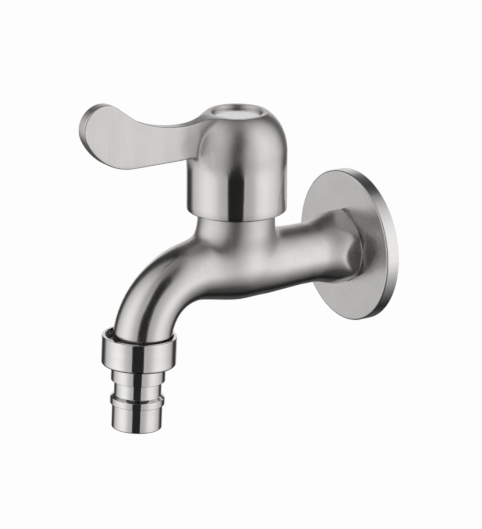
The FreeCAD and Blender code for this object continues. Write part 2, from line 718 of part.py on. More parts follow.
def open_ring(label, inner, outer, low, thickness, opening):
    """A flat ring with a gap of some degrees, centred on the +X side."""
    body = new_body(label, "valve_reach")
    sketch = flat_sketch(body, "ring_outline", low)
    outline(sketch, sector_corners(inner, outer, "(%s / 2)" % opening, "(360 - %s)" % opening))
    extruded(body, "ring", sketch, thickness)
    return body


def stop_washer():
    """The splined washer whose lobe runs between the housing's stops."""
    body = new_body("stop_washer", "valve_reach")
    sketch = flat_sketch(body, "disc_outline", STOP_LOW)
    circle_sketch(sketch, "stop_disc_radius")
    circle_sketch(sketch, "spline_radius - spline_depth + seat_play")
    extruded(body, "disc", sketch, "stop_height")
    lobe = flat_sketch(body, "lobe_outline", STOP_LOW)
    outline(lobe, sector_corners("stop_disc_radius - 0.5", "stop_radius",
                                 "(90 - stop_angle / 2)", "stop_angle"))
    extruded(body, "lobe", lobe, "stop_height")
    splined_hole(body, STOP_LOW, "stop_height")
    return body


def splined_hole(body, low, length):
    """Cuts the spaces for the spindle's teeth into a plain hole."""
    cut = flat_sketch(body, "spline_outline", low + " - 0.1", "180 / spline_teeth")
    root = "spline_radius - spline_depth"
    outline(cut, [(root + " - 0.1", "-0.66"), ("spline_radius + seat_play", "-0.22"),
                  ("spline_radius + seat_play", "0.22"), (root + " - 0.1", "0.66")])
    space = extruded(body, "spline_space", cut, length + " + 0.1",
                     kind="Pocket", backwards=True)
    around(body, space, cut, "spline", "spline_teeth")


def spindle():
    body = new_body("spindle", "valve_reach")
    groove_radius = "spindle_radius - ring_section"
    hole = "screw_radius + running_fit"
    corners = [
        ("0", FOOT_LOW),
        ("foot_radius", FOOT_LOW),
        ("foot_radius", FOOT_TOP),
        ("spindle_radius", FOOT_TOP),
    ]
    for height in ("ring_height", "(ring_height + ring_pitch)"):
        low = height + " - ring_section * 0.6"
        high = height + " + ring_section * 0.6"
        corners += [("spindle_radius", low), (groove_radius, low),
                    (groove_radius, high), ("spindle_radius", high)]
    corners += [
        ("spindle_radius", HOUSING_TOP),
        ("spline_radius", HOUSING_TOP),
        ("spline_radius", CLIP_LOW + " - face_play / 2"),
        ("clip_groove_radius", CLIP_LOW + " - face_play / 2"),
        ("clip_groove_radius", CLIP_TOP + " + face_play"),
        ("spline_radius", CLIP_TOP + " + face_play"),
        ("spline_radius", SPINDLE_TOP + " - 0.5"),
        ("spline_radius - 0.5", SPINDLE_TOP),
        (hole, SPINDLE_TOP),
        (hole, HEAD_LOW + " - screw_length - 1"),
        ("0", HEAD_LOW + " - screw_length - 1"),
    ]
    turned(body, "turned_spindle", corners)
    tangs = flat_sketch(body, "tangs_outline", MOVING_TOP + " - tang_grip")
    for side in (1, -1):
        near = "%d * (port_outer_radius + 0.2)" % side
        far = "%d * (disc_radius - 0.4)" % side
        outline(tangs, [(near, "-tang_width / 2"), (far, "-tang_width / 2"),
                        (far, "tang_width / 2"), (near, "tang_width / 2")])
    extruded(body, "tangs", tangs, "tang_grip + water_gap + foot_height / 2")
    cut = flat_sketch(body, "spline_outline", HOUSING_TOP)
    root = "spline_radius - spline_depth"
    outline(cut, [("spline_radius + 0.1", "-0.6"), ("spline_radius + 0.1", "0.6"),
                  (root, "0.05"), (root, "-0.05")])
    space = extruded(body, "spline_space", cut, "%s - %s + 1" % (SPINDLE_TOP, HOUSING_TOP),
                     kind="Pocket", backwards=True)
    around(body, space, cut, "spline", "spline_teeth")
    return body


def handle_screw():
    body = new_body("handle_screw", "valve_reach")
    tip = HEAD_LOW + " - screw_length"
    turned(body, "screw", [
        ("0", tip),
        ("screw_radius - 0.6", tip),
        ("screw_radius", tip + " + 0.6"),
        ("screw_radius", HEAD_LOW),
        ("screw_head_radius", HEAD_LOW),
        ("screw_head_radius", HEAD_TOP + " - 1"),
        ("screw_head_radius - 0.8", HEAD_TOP),
        ("0", HEAD_TOP),
    ])
    socket = flat_sketch(body, "socket_outline", HEAD_TOP)
    outline(socket, hexagon_corners("screw_socket_flat"))
    extruded(body, "socket", socket, "screw_head_height * 0.6", kind="Pocket")
    return body


def index_cap():
    body = new_body("index_cap", "valve_reach")
    turned(body, "cap", [
        ("0", CAP_LOW),
        (CAP_RADIUS, CAP_LOW),
        (CAP_RADIUS, CAP_TOP + " - 0.3"),
        (CAP_RADIUS + " - 0.3", CAP_TOP),
        ("0", CAP_TOP),
    ])
    return body


# Handle: the bell, its flat lever, and the hub inside
def handle():
    body = new_body("handle", "valve_reach")
    bell(body)
    blade = lever(body)
    doc.recompute()
    blend_into_bell(body, blade)
    trim_top(body)
    turned(body, "well", [
        ("0", HUB_LOW + " - 1"),
        ("spline_radius - spline_depth + seat_play", HUB_LOW + " - 1"),
        ("spline_radius - spline_depth + seat_play", SPLINE_TOP),
        ("screw_radius + 0.25", SPLINE_TOP),
        ("screw_radius + 0.25", WELL_FLOOR),
        ("screw_well_radius", WELL_FLOOR),
        ("screw_well_radius", CAP_LOW),
        (CAP_RADIUS + " + seat_play", CAP_LOW),
        (CAP_RADIUS + " + seat_play", "bell_top + 2"),
        ("0", "bell_top + 2"),
    ], kind="Groove")
    inside = "neck_radius + bell_neck_gap"
    turned(body, "hollow", [
        ("0", "bell_bottom - 1"),
        (inside, "bell_bottom - 1"),
        (inside, "bell_top - hollow_drop"),
        ("hub_radius + 4.5", "bell_top - hollow_drop + hollow_cone"),
        ("hub_radius", "bell_top - hollow_drop + hollow_cone"),
        ("hub_radius", HUB_LOW),
        ("0", HUB_LOW),
    ], kind="Groove")
    splined_hole(body, HUB_LOW, "hub_drop")
    return body


# The bell's shoulder: a first arc, and a second that ends level at the crown's flat middle
SHOULDER_UP = "(bell_top - shoulder_drop)"
TURN_ACROSS = "(bell_radius - shoulder_radius * (1 - cos(shoulder_turn)))"
TURN_UP = "(%s + shoulder_radius * sin(shoulder_turn))" % SHOULDER_UP
CROWN_RADIUS = "((%s - crown_flat) / cos(shoulder_turn))" % TURN_ACROSS
CROWN_UP = "(%s + %s * (1 - sin(shoulder_turn)))" % (TURN_UP, CROWN_RADIUS)


def bell(body):
    """The bell turned whole, a little over its flat top."""
    turned(body, "bell", [
        ("0", "bell_bottom"),
        ("bell_radius - bell_edge", "bell_bottom", "bell_edge"),
        ("bell_radius", "bell_bottom + bell_edge"),
        ("bell_radius", SHOULDER_UP, "shoulder_radius"),
        (TURN_ACROSS, TURN_UP, CROWN_RADIUS),
        ("crown_flat", CROWN_UP),
        ("0", CROWN_UP),
    ])


def lever(body):
    """The flat lever: its underside curls up to a round tip and its top dips behind the tip.
    Over the bell it is left too tall, for trim_top to cut."""
    low = "(bell_top - lever_underside)"
    toe_up = "(%s + lever_toe_radius)" % low
    tip_up = "(bell_top + lever_tip_top - lever_tip_radius)"
    run = "sqrt((lever_toe_radius - lever_tip_radius) ^ 2 - (%s - %s) ^ 2)" % (toe_up, tip_up)
    share = "lever_toe_radius / (lever_toe_radius - lever_tip_radius)"
    tip_out = "(lever_toe_start + %s)" % run
    dip_up = "(bell_top - lever_dip)"
    turn_out = "(lever_dip_reach + lever_dip_radius * sin(lever_dip_turn))"
    turn_up = "(%s + lever_dip_radius * (1 - cos(lever_dip_turn)))" % dip_up
    hollow_out = "(%s + lever_hollow_radius * (sin(lever_slope) - sin(lever_dip_turn)))" % turn_out
    hollow_up = "(%s + lever_hollow_radius * (cos(lever_dip_turn) - cos(lever_slope)))" % turn_up
    raw_top = "(bell_top + lever_blend * 2)"
    sketch = outline(new_sketch(body, "lever_outline", "YZ_Plane"), [
        ("0", low),
        ("-lever_toe_start", low, "-lever_toe_radius"),
        ("-(lever_toe_start + %s * %s)" % (run, share),
         "%s - (%s - %s) * %s" % (toe_up, toe_up, tip_up, share), "-lever_tip_radius"),
        ("-%s + lever_tip_radius * sin(lever_slope)" % tip_out,
         "%s + lever_tip_radius * cos(lever_slope)" % tip_up),
        ("-" + hollow_out, hollow_up, "lever_hollow_radius"),
        ("-" + turn_out, turn_up, "lever_dip_radius"),
        ("-lever_dip_reach", dip_up),
        ("-lever_dip_reach", raw_top),
        ("0", raw_top),
    ])
    return extruded(body, "lever", sketch, "lever_thickness", both=True)


def blend_into_bell(body, base):
    """A fillet all round the root of the lever, whose inner end is rounded for it first."""
    half = value("lever_thickness / 2")
    outside = value("bell_radius")
    low = value("bell_top - lever_underside")
    crown = value(CROWN_UP)

    def inner_corner(edge):
        return all(abs(abs(point.x) - half) < 0.001 and abs(point.y) < 0.001
                   for point in edge.discretize(3))

    def at_root(edge):
        points = edge.discretize(7)
        heights = [point.z for point in points]
        beside = all(abs(point.x) < half + 0.001 and -outside - 0.1 < point.y < 0.001
                     for point in points)
        return (beside and min(heights) > low - 0.1 and max(heights) < crown + 0.01
                and (max(heights) - min(heights) > 0.5 or min(heights) > crown - 0.01))

    root = rounded(body, "lever_root", base, edges_where(base, inner_corner),
                   "lever_thickness / 2 - 0.1")
    doc.recompute()
    rounded(body, "lever_fillet", root, edges_where(root, at_root), "lever_blend")
    doc.recompute()


def trim_top(body):
    """Cuts the flat top and the slope that leads from it down into the lever's dip."""
    sweep = "lever_rise_radius * sqrt(1 - (1 - lever_dip / 2 / lever_rise_radius) ^ 2)"
    sketch = outline(new_sketch(body, "top_outline", "YZ_Plane"), [
        ("-lever_dip_reach", "bell_top - lever_dip", "lever_rise_radius"),
        ("-lever_dip_reach + " + sweep, "bell_top - lever_dip / 2", "-lever_rise_radius"),
        ("-lever_dip_reach + 2 * " + sweep, "bell_top"),
        ("bell_radius + 5", "bell_top"),
        ("bell_radius + 5", "bell_top + 20"),
        ("-lever_dip_reach", "bell_top + 20"),
    ])
    extruded(body, "flat_top", sketch, "bell_radius * 3", kind="Pocket", both=True)
    doc.recompute()


# Outlet: pieces on its own tilted axis, with depths measured down from the nut's rim
GASKET_TOP = "(outlet_thread_start + outlet_thread_length + face_play)"
NOZZLE_TOP = "(%s + gasket_thickness)" % GASKET_TOP
LEDGE = "(nut_height - nut_ledge)"


def outlet_body(label):
    return new_body(label, "valve_reach + outlet_reach", "-outlet_drop", "outlet_tilt")


def collar_nut():
    body = outlet_body("collar_nut")
    hole = "nozzle_shoulder_radius + seat_play"
    bore = "outlet_thread_radius + thread_play"
    rim = "nut_radius - nut_rim"
    turned(body, "nut", [
        (hole, "-nut_height"),
        ("nut_radius - nut_rounding", "-nut_height", "nut_rounding"),
        ("nut_radius", "-nut_height + nut_rounding"),
        ("nut_radius", "-0.3", "0.3"),
        ("nut_radius - 0.3", "0"),
        (rim, "0"),
        (rim, "-outlet_thread_start + 0.1"),
        (bore, "-outlet_thread_start - 0.1"),
        (bore, "-" + LEDGE),
        (hole, "-" + LEDGE),
    ])
    return body


def nozzle_gasket():
    body = outlet_body("nozzle_gasket")
    turned(body, "gasket", tube_corners("spout_bore_radius", "nozzle_flange_radius",
                                        "-" + NOZZLE_TOP, "-" + GASKET_TOP))
    return body


def hose_nozzle():
    body = outlet_body("hose_nozzle")
    shoulder = "(nut_height + nozzle_shoulder_length)"
    groove = "(%s + nozzle_groove_length)" % shoulder
    ridge = "(%s + nozzle_ridge_length)" % groove
    end = "(%s + nozzle_end_length)" % ridge
    turned(body, "nozzle", [
        ("nozzle_bore_radius", "-" + end),
        ("nozzle_end_radius - nozzle_edge", "-" + end),
        ("nozzle_end_radius", "-%s + nozzle_edge" % end),
        ("nozzle_end_radius", "-" + ridge),
        ("nozzle_ridge_radius", "-" + ridge),
        ("nozzle_ridge_radius", "-%s - nozzle_ridge_cone" % groove),
        ("nozzle_groove_radius", "-" + groove),
        ("nozzle_groove_radius", "-" + shoulder),
        ("nozzle_shoulder_radius", "-" + shoulder),
        ("nozzle_shoulder_radius", "-%s + face_play" % LEDGE),
        ("nozzle_flange_radius", "-%s + face_play" % LEDGE),
        ("nozzle_flange_radius", "-" + NOZZLE_TOP),
        ("nozzle_bore_radius", "-" + NOZZLE_TOP),
    ])
    return body


pieces = [
    tap_body(),
    wall_flange(),
    valve_housing(),
    ring("housing_seal", "headwork_thread_radius + 0.3", "housing_seal_radius",
         "neck_top", HEX_LOW),
    seat_seal(),
    ported_disc("fixed_disc", SEAL_TOP, "fixed_disc_height", 0),
    moving_disc(),
    spindle(),
    o_ring("spindle_o_ring_lower", "ring_height"),
    o_ring("spindle_o_ring_upper", "ring_height + ring_pitch"),
    ring("thrust_washer", "spindle_radius + seat_play", "foot_radius",
         WASHER_LOW, WASHER_LOW + " + washer_height"),
    stop_washer(),
    open_ring("retaining_clip", "clip_groove_radius + face_play", "clip_radius",
              CLIP_LOW, "clip_height", "clip_opening"),
    handle(),
    open_ring("screw_spring_washer", "screw_radius + 0.25", "screw_washer_radius",
              WELL_FLOOR, "screw_washer_height", "12"),
    handle_screw(),
    index_cap(),
    collar_nut(),
    nozzle_gasket(),
    hose_nozzle(),
]
doc.recompute()

os.makedirs("parts", exist_ok=True)
for item in doc.Objects:
    if "Invalid" in item.State or "Error" in item.State:
        raise RuntimeError("%s did not build: %s" % (item.Label, item.State))
for piece in pieces:
    if piece.Shape.isNull() or not piece.Shape.isValid() or len(piece.Shape.Solids) != 1:
        raise RuntimeError("%s is not one sound solid" % piece.Label)
    piece.Shape.exportStep("parts/%s.step" % piece.Label)
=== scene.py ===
from math import cos, pi, radians, sin, tan

import bmesh
import bpy
import numpy as np
from mathutils import Matrix


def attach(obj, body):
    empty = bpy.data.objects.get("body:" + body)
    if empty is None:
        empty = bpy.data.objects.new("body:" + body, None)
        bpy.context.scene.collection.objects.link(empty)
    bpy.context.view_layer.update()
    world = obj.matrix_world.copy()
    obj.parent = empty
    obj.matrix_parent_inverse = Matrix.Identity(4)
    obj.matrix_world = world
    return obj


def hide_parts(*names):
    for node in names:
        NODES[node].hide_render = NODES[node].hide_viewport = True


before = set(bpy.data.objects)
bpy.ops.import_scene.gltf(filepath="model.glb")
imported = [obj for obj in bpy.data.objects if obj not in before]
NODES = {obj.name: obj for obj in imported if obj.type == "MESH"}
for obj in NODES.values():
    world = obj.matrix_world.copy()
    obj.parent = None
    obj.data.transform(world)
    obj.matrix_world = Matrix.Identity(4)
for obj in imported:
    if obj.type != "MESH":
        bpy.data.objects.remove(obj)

bl_info = {
    "name": "Stainless Bib Tap",
    "version": (1, 0, 0),
    "blender": (4, 5, 0),
    "location": "3D View > Sidebar > Bib Tap",
    "description": "Dresses the packed bib tap with turned, cast and brushed surfaces",
    "category": "Object",
}

MM = 0.001


# Axes of the pieces, in millimetres in the part's own frame
VALVE = np.array([0.0, -51.9, 0.0])
INLET = np.array([0.0, 0.0, 0.0])
OUTLET = np.array([0.0, -92.8, -18.7])
OUTLET_TILT = radians(2.16)
UPRIGHT = np.eye(3)
TOWARDS_WALL = np.array([[1.0, 0.0, 0.0], [0.0, 0.0, 1.0], [0.0, 1.0, 0.0]])
DOWN_OUTLET = np.array([
    [1.0, 0.0, 0.0],
    [0.0, cos(OUTLET_TILT), -sin(OUTLET_TILT)],
    [0.0, -sin(OUTLET_TILT), -cos(OUTLET_TILT)],
])


# Meshes
def put_mesh(name, points, faces, sharp=32.0, closed=True):
    """A mesh object from points in millimetres and faces of corner numbers.
    Corners that meet become one, and the faces of a closed piece turn outwards."""
    mesh = bpy.data.meshes.new(name)
    mesh.from_pydata((points * MM).tolist(), [], faces)
    if closed:
        work = bmesh.new()
        work.from_mesh(mesh)
        bmesh.ops.remove_doubles(work, verts=work.verts, dist=2e-7)
        bmesh.ops.recalc_face_normals(work, faces=work.faces)
        work.to_mesh(mesh)
        work.free()
    mesh.update()
    mesh.polygons.foreach_set("use_smooth", np.ones(len(mesh.polygons), bool))
    mesh.set_sharp_from_angle(angle=radians(sharp))
    obj = bpy.data.objects.new(name, mesh)
    bpy.context.scene.collection.objects.link(obj)
    return obj


def grid_faces(rows, columns, start=0, wrap_rows=False, wrap_columns=True):
    """Corner numbers of the quads of a grid, which may close on itself either way."""
    row = np.arange(rows if wrap_rows else rows - 1)[:, None]
    column = np.arange(columns if wrap_columns else columns - 1)[None, :]
    next_row = (row + 1) % rows
    next_column = (column + 1) % columns
    corners = [row * columns + column, row * columns + next_column,
               next_row * columns + next_column, next_row * columns + column]
    corners = [np.broadcast_to(corner, (row.size, column.size)) for corner in corners]
    return (np.stack(corners, -1).reshape(-1, 4) + start).tolist()


def rounded_outline(corners, support=0.06, arc_step=0.2):
    """Points along a closed outline of (across, along, rounding) corners.
    Each corner becomes the arc that touches both its sides at the distance
    rounding * tan(turn / 2); a support point stands just outside each end of the arc."""
    points = []
    count = len(corners)
    for index, (across, along, size) in enumerate(corners):
        here = np.array([across, along], float)
        before = np.array(corners[index - 1][:2], float) - here
        after = np.array(corners[(index + 1) % count][:2], float) - here
        if size <= 0:
            points.append(here)
            continue
        reach_before, reach_after = np.hypot(*before), np.hypot(*after)
        before, after = before / reach_before, after / reach_after
        half = np.arccos(np.clip(before @ after, -1, 1)) / 2
        cut = size / tan(half)
        centre = here + (before + after) / np.hypot(*(before + after)) * size / sin(half)
        start, end = here + before * cut - centre, here + after * cut - centre
        first = np.arctan2(start[1], start[0])
        sweep = (np.arctan2(end[1], end[0]) - first + pi) % (2 * pi) - pi
        steps = max(3, int(np.ceil(abs(sweep) / arc_step)))
        turn = first + sweep * np.linspace(0, 1, steps + 1)
        arc = centre + size * np.stack([np.cos(turn), np.sin(turn)], -1)
        if reach_before > cut + 2 * support:
            points.append(here + before * (cut + support))
        points.extend(arc)
        if reach_after > cut + 2 * support:
            points.append(here + after * (cut + support))
    return np.array(points)


def turned(name, outline, foot, axes, columns=192, ridge=None, closed=True, sharp=32.0):
    """A turned piece: the outline carried round its axis,
    point(s, t) = foot + across(s) * (cos t, sin t) + along(s) * axis.
    The ridge, where there is one, takes its depth(along, t) off across."""
    turn = np.arange(columns) / columns * 2 * pi
    across = np.repeat(outline[:, :1], columns, 1)
    along = np.repeat(outline[:, 1:2], columns, 1)
    if ridge is not None:
        across = across - ridge(outline[:, 0][:, None], along, turn[None, :])
    local = np.stack([across * np.cos(turn), across * np.sin(turn), along], -1)
    points = foot + local.reshape(-1, 3) @ axes
    return put_mesh(name, points, grid_faces(len(outline), columns, wrap_rows=closed), sharp)


class Skin:
    """Gathers grids of points, which share their edges, into one mesh."""

    def __init__(self):
        self.points, self.faces, self.count = [], [], 0

    def add(self, grid, wrap_columns=True):
        rows, columns = grid.shape[:2]
        self.points.append(grid.reshape(-1, 3))
        self.faces += grid_faces(rows, columns, self.count, wrap_columns=wrap_columns)
        self.count += rows * columns

    def put(self, name, sharp):
        return put_mesh(name, np.concatenate(self.points), self.faces, sharp)


# Shapes as distances: below zero inside, above zero outside
def true_distance(field, points, step=0.001):
    """A shape's value over its slope's size, and the slope's unit direction, both from the
    change of the value over a small step along each axis."""
    value = field(points)
    growth = np.stack([field(points + step * axis) - value for axis in np.eye(3)], -1) / step
    size = np.maximum(np.linalg.norm(growth, axis=-1), 1e-6)
    return value / size, growth / size[..., None]


def joined(first, second, radius):
    """Two shapes with the hollow between them filled by a ball that rolls against both.
    With a and b the distances less the ball's radius, and c the cosine between their slopes,
    the distance is radius - sqrt((a * a + b * b - 2 * a * b * c) / (1 - c * c)) between the
    ball's two contacts, and the lesser of the two distances elsewhere."""
    def field(points):
        (one, uphill), (two, other) = true_distance(first, points), true_distance(second, points)
        size, c = radius(points), (uphill * other).sum(-1).clip(-0.95, 0.9995)
        a, b = one - size, two - size
        ball = size - np.sqrt(np.maximum(a * a + b * b - 2 * a * b * c, 0) / (1 - c * c))
        return np.where((a < c * b) & (b < c * a), ball, np.minimum(one, two))
    return field


def leave(field, path, low, high, halvings=34):
    """The points where paths leave a shape: the span from low to high is halved until
    the distance at path(t) is zero."""
    for _ in range(halvings):
        middle = (low + high) / 2
        inside = field(path(middle)) < 0
        low, high = np.where(inside, middle, low), np.where(inside, high, middle)
    return path((low + high) / 2)


def cast_rays(field, starts, directions, reach):
    """The points where rays from inside a shape leave it."""
    directions = directions / np.linalg.norm(directions, axis=-1, keepdims=True)
    low = np.zeros(directions.shape[:-1])
    return leave(field, lambda t: starts + directions * t[..., None], low, low + reach)


def rings(outline, foot, axes, turn, ridge=None):
    """Rows of points round an axis, one row for each (across, along) of an outline, with
    point = foot + (across - ridge(along, turn)) * (cos turn, sin turn) + along * axis."""
    outline = np.asarray(outline, float)
    across, along = np.broadcast_arrays(outline[:, :1], turn[None, :])[0], outline[:, 1:2]
    if ridge is not None:
        across = across - ridge(along, turn[None, :])
    along = np.broadcast_to(along, across.shape)
    return foot + np.stack([across * np.cos(turn), across * np.sin(turn), along], -1) @ axes


def eased(value, start, end):
    """Rises smoothly from 0 at start to 1 at end: 3 u^2 - 2 u^3."""
    share = np.clip((value - start) / (end - start), 0, 1)
    return share * share * (3 - 2 * share)


def thread(pitch, depth, start, end, hand=1):
    """Depth of a thread's groove below its crest: a wave of along / pitch + turn / 2 pi,
    which fades out over half a pitch at both ends."""
    def ridge(along, turn):
        wave = 0.5 - 0.5 * np.cos(2 * pi * (along / pitch + hand * turn / (2 * pi)))
        fade = eased(along, start, start + pitch / 2) * eased(-along, -end, -end + pitch / 2)
        return depth * wave * fade
    return ridge


# Body: neck, tube and spout as one casting
LIFT = 1.4
CROSSING = VALVE + np.array([0, 0, LIFT])
NECK_RADIUS, NECK_TOP, NECK_WAIST, NECK_BALL = 13.85, 23.5, 1.4, 4
CHAMBER_RADIUS, ENTRY_RADIUS = 10.9, 10.53
TUBE_LENGTH = 26.4
COLLAR_RADIUS, COLLAR_FLATS, COLLAR_FACE = 13.8, 12.7, -5.15
FLARE_RADIUS, FLARE_START, FLARE_END = 11, -21, -7.5
INLET_RADIUS, INLET_BORE, INLET_END, INLET_PITCH = 10.48, 7.5, 11, 1.814
OUTLET_RADIUS, OUTLET_BORE, OUTLET_PITCH = 12, 7.3, 1.0
BEND_CENTRE = np.array([-68.9, -21.7])
BEND_RADIUS = 22.7
BEND_START, BEND_END = radians(86.49), radians(177.84)
RUN_LENGTH = 15.64
RUN_DIRECTION = np.array([-0.99812, 0.0612])
SPOUT_LENGTH = RUN_LENGTH + BEND_RADIUS * (BEND_END - BEND_START)
SPOUT_RADII = np.polyfit([0, 33.74, 51.83], [10.9, 10.25, 10.7], 2)
PIPE_LENGTHS = np.arange(-36, 60, 0.5)
PIPE_RADII = np.where(
    PIPE_LENGTHS < 0, np.interp(PIPE_LENGTHS, [-26.4, -15, -10, 0], [10.95, 11.55, 11.8, 11.2]),
    np.polyval(SPOUT_RADII, PIPE_LENGTHS) + 0.3 * (1 - eased(PIPE_LENGTHS, 0, 12))
    + 0.4 * (eased(PIPE_LENGTHS, 6, 16) - eased(PIPE_LENGTHS, 20, 36)))
PIPE_RADII = np.convolve(np.pad(PIPE_RADII, 7, "edge"), np.hanning(17)[1:-1] / 8, "valid")


def neck_shape(points):
    """A round neck with a ball for its lower end, narrower where it melts into the pipe."""
    x, y, z = (points - VALVE).T
    radius = NECK_RADIUS - NECK_WAIST * (1 - eased(z, 3, 15))
    return (np.sqrt(x * x + y * y + np.minimum(z - NECK_BALL, 0) ** 2) - radius).T


def spout_line(length):
    """Place and direction, as (y, z), at a length along the spout's middle line:
    a straight run, then an arc, then straight on."""
    length = np.asarray(length, float)
    run = np.clip(length, None, RUN_LENGTH)[..., None] * RUN_DIRECTION + VALVE[1:]
    angle = BEND_START + np.clip(length - RUN_LENGTH, 0, SPOUT_LENGTH - RUN_LENGTH) / BEND_RADIUS
    arc = np.stack([np.cos(angle), np.sin(angle)], -1)
    heading = np.stack([-np.sin(angle), np.cos(angle)], -1)
    beyond = np.maximum(length - SPOUT_LENGTH, 0)[..., None] * heading
    on_run = (length < RUN_LENGTH)[..., None]
    return (np.where(on_run, run, BEND_CENTRE + BEND_RADIUS * arc + beyond),
            np.where(on_run, RUN_DIRECTION, heading))


def pipe_shape(points):
    """Tube and spout as one pipe: the distance to its middle line, which is the nearest of
    the tube's line, the spout's run and its arc, less the radius at that length. The pipe is
    a little wider than it is high round the valve's axis, and the spout's back is raised."""
    flat = points[..., 1:].copy()
    flat[..., 1] -= 0.4 * (eased(-flat[..., 0], 60, 71) - eased(-flat[..., 0], 76, 87))
    along_tube = (flat[..., 0] - VALVE[1]).clip(0, 60)
    from_tube = np.hypot(flat[..., 0] - VALVE[1] - along_tube, flat[..., 1])
    along_run = ((flat - VALVE[1:]) @ RUN_DIRECTION).clip(0, RUN_LENGTH)
    from_run = np.linalg.norm(flat - spout_line(along_run)[0], axis=-1)
    off = flat - BEND_CENTRE
    angle = np.arctan2(off[..., 1], off[..., 0])
    angle = np.where(angle < -pi / 2, angle + 2 * pi, angle).clip(BEND_START, BEND_END)
    from_arc = np.linalg.norm(
        off - BEND_RADIUS * np.stack([np.cos(angle), np.sin(angle)], -1), axis=-1)
    nearest = np.argmin([from_tube, from_run, from_arc], 0)
    length = np.choose(nearest, [-along_tube, along_run,
                                 RUN_LENGTH + BEND_RADIUS * (angle - BEND_START)])
    wider = 1 + 0.05 * (1 - eased(np.abs(length), 3, 22))
    across = np.hypot(points[..., 0] / wider, np.minimum.reduce([from_tube, from_run, from_arc]))
    return across - np.interp(length, PIPE_LENGTHS, PIPE_RADII)


def body_shape(points):
    """Neck and pipe melted into each other: with h = max(1 - |neck - pipe| / k, 0), the
    distance is min(neck, pipe) - k * h^3 / 6. The hollow reaches further at the spout."""
    neck, pipe = neck_shape(points), pipe_shape(points)
    k = 12.5 - 5 * eased(points[..., 1] - VALVE[1], -12, 12)
    share = np.maximum(1 - np.abs(neck - pipe) / k, 0)
    return np.minimum(neck, pipe) - k * share ** 3 / 6


def collar_radius(along, turn):
    """Outside of the tube's collar: a flare that six flats cut, with the flats to the sides.
    The lesser of the two is taken softly: -k * log(exp(-flare / k) + exp(-flats / k))."""
    rise = (COLLAR_RADIUS - FLARE_RADIUS) * eased(along, FLARE_START, FLARE_END)
    chamfer = np.interp(along, [FLARE_END, COLLAR_FACE - 1.2, COLLAR_FACE],
                        [COLLAR_RADIUS, COLLAR_RADIUS, COLLAR_RADIUS - 1.2])
    flare = np.where(along < FLARE_END, FLARE_RADIUS + rise, chamfer)
    flat_turn = (turn + pi / 6) % (pi / 3) - pi / 6
    flats = COLLAR_FLATS / np.cos(flat_turn)
    soft = 0.22
    return -soft * np.log(np.exp(-flare / soft) + np.exp(-flats / soft))


def fan(shape, places, pivots, turn, low_pivots, longest=26):
    """Rows of points where a leg's skin is met by rays from places on its middle line, with
    ray = cos(turn) * x + |sin(turn)| * (pivot - place) / |pivot - place|. The pivots lie
    outside the skin, so that rows never cross; places and pivots are (y, z)."""
    def unit(vectors):
        return vectors / np.linalg.norm(vectors, axis=-1, keepdims=True)

    s = np.sin(turn)[None, :, None]
    up, down = unit(pivots - places)[:, None], unit(low_pivots - places)[:, None]
    rays = np.zeros((len(places), len(turn), 3))
    rays[..., 0] = np.cos(turn)
    rays[..., 1:] = np.where(s > 1e-9, s * up, -s * down)
    starts = np.zeros((len(places), 1, 3))
    starts[:, 0, 1:] = places
    return cast_rays(shape, starts, rays, longest)


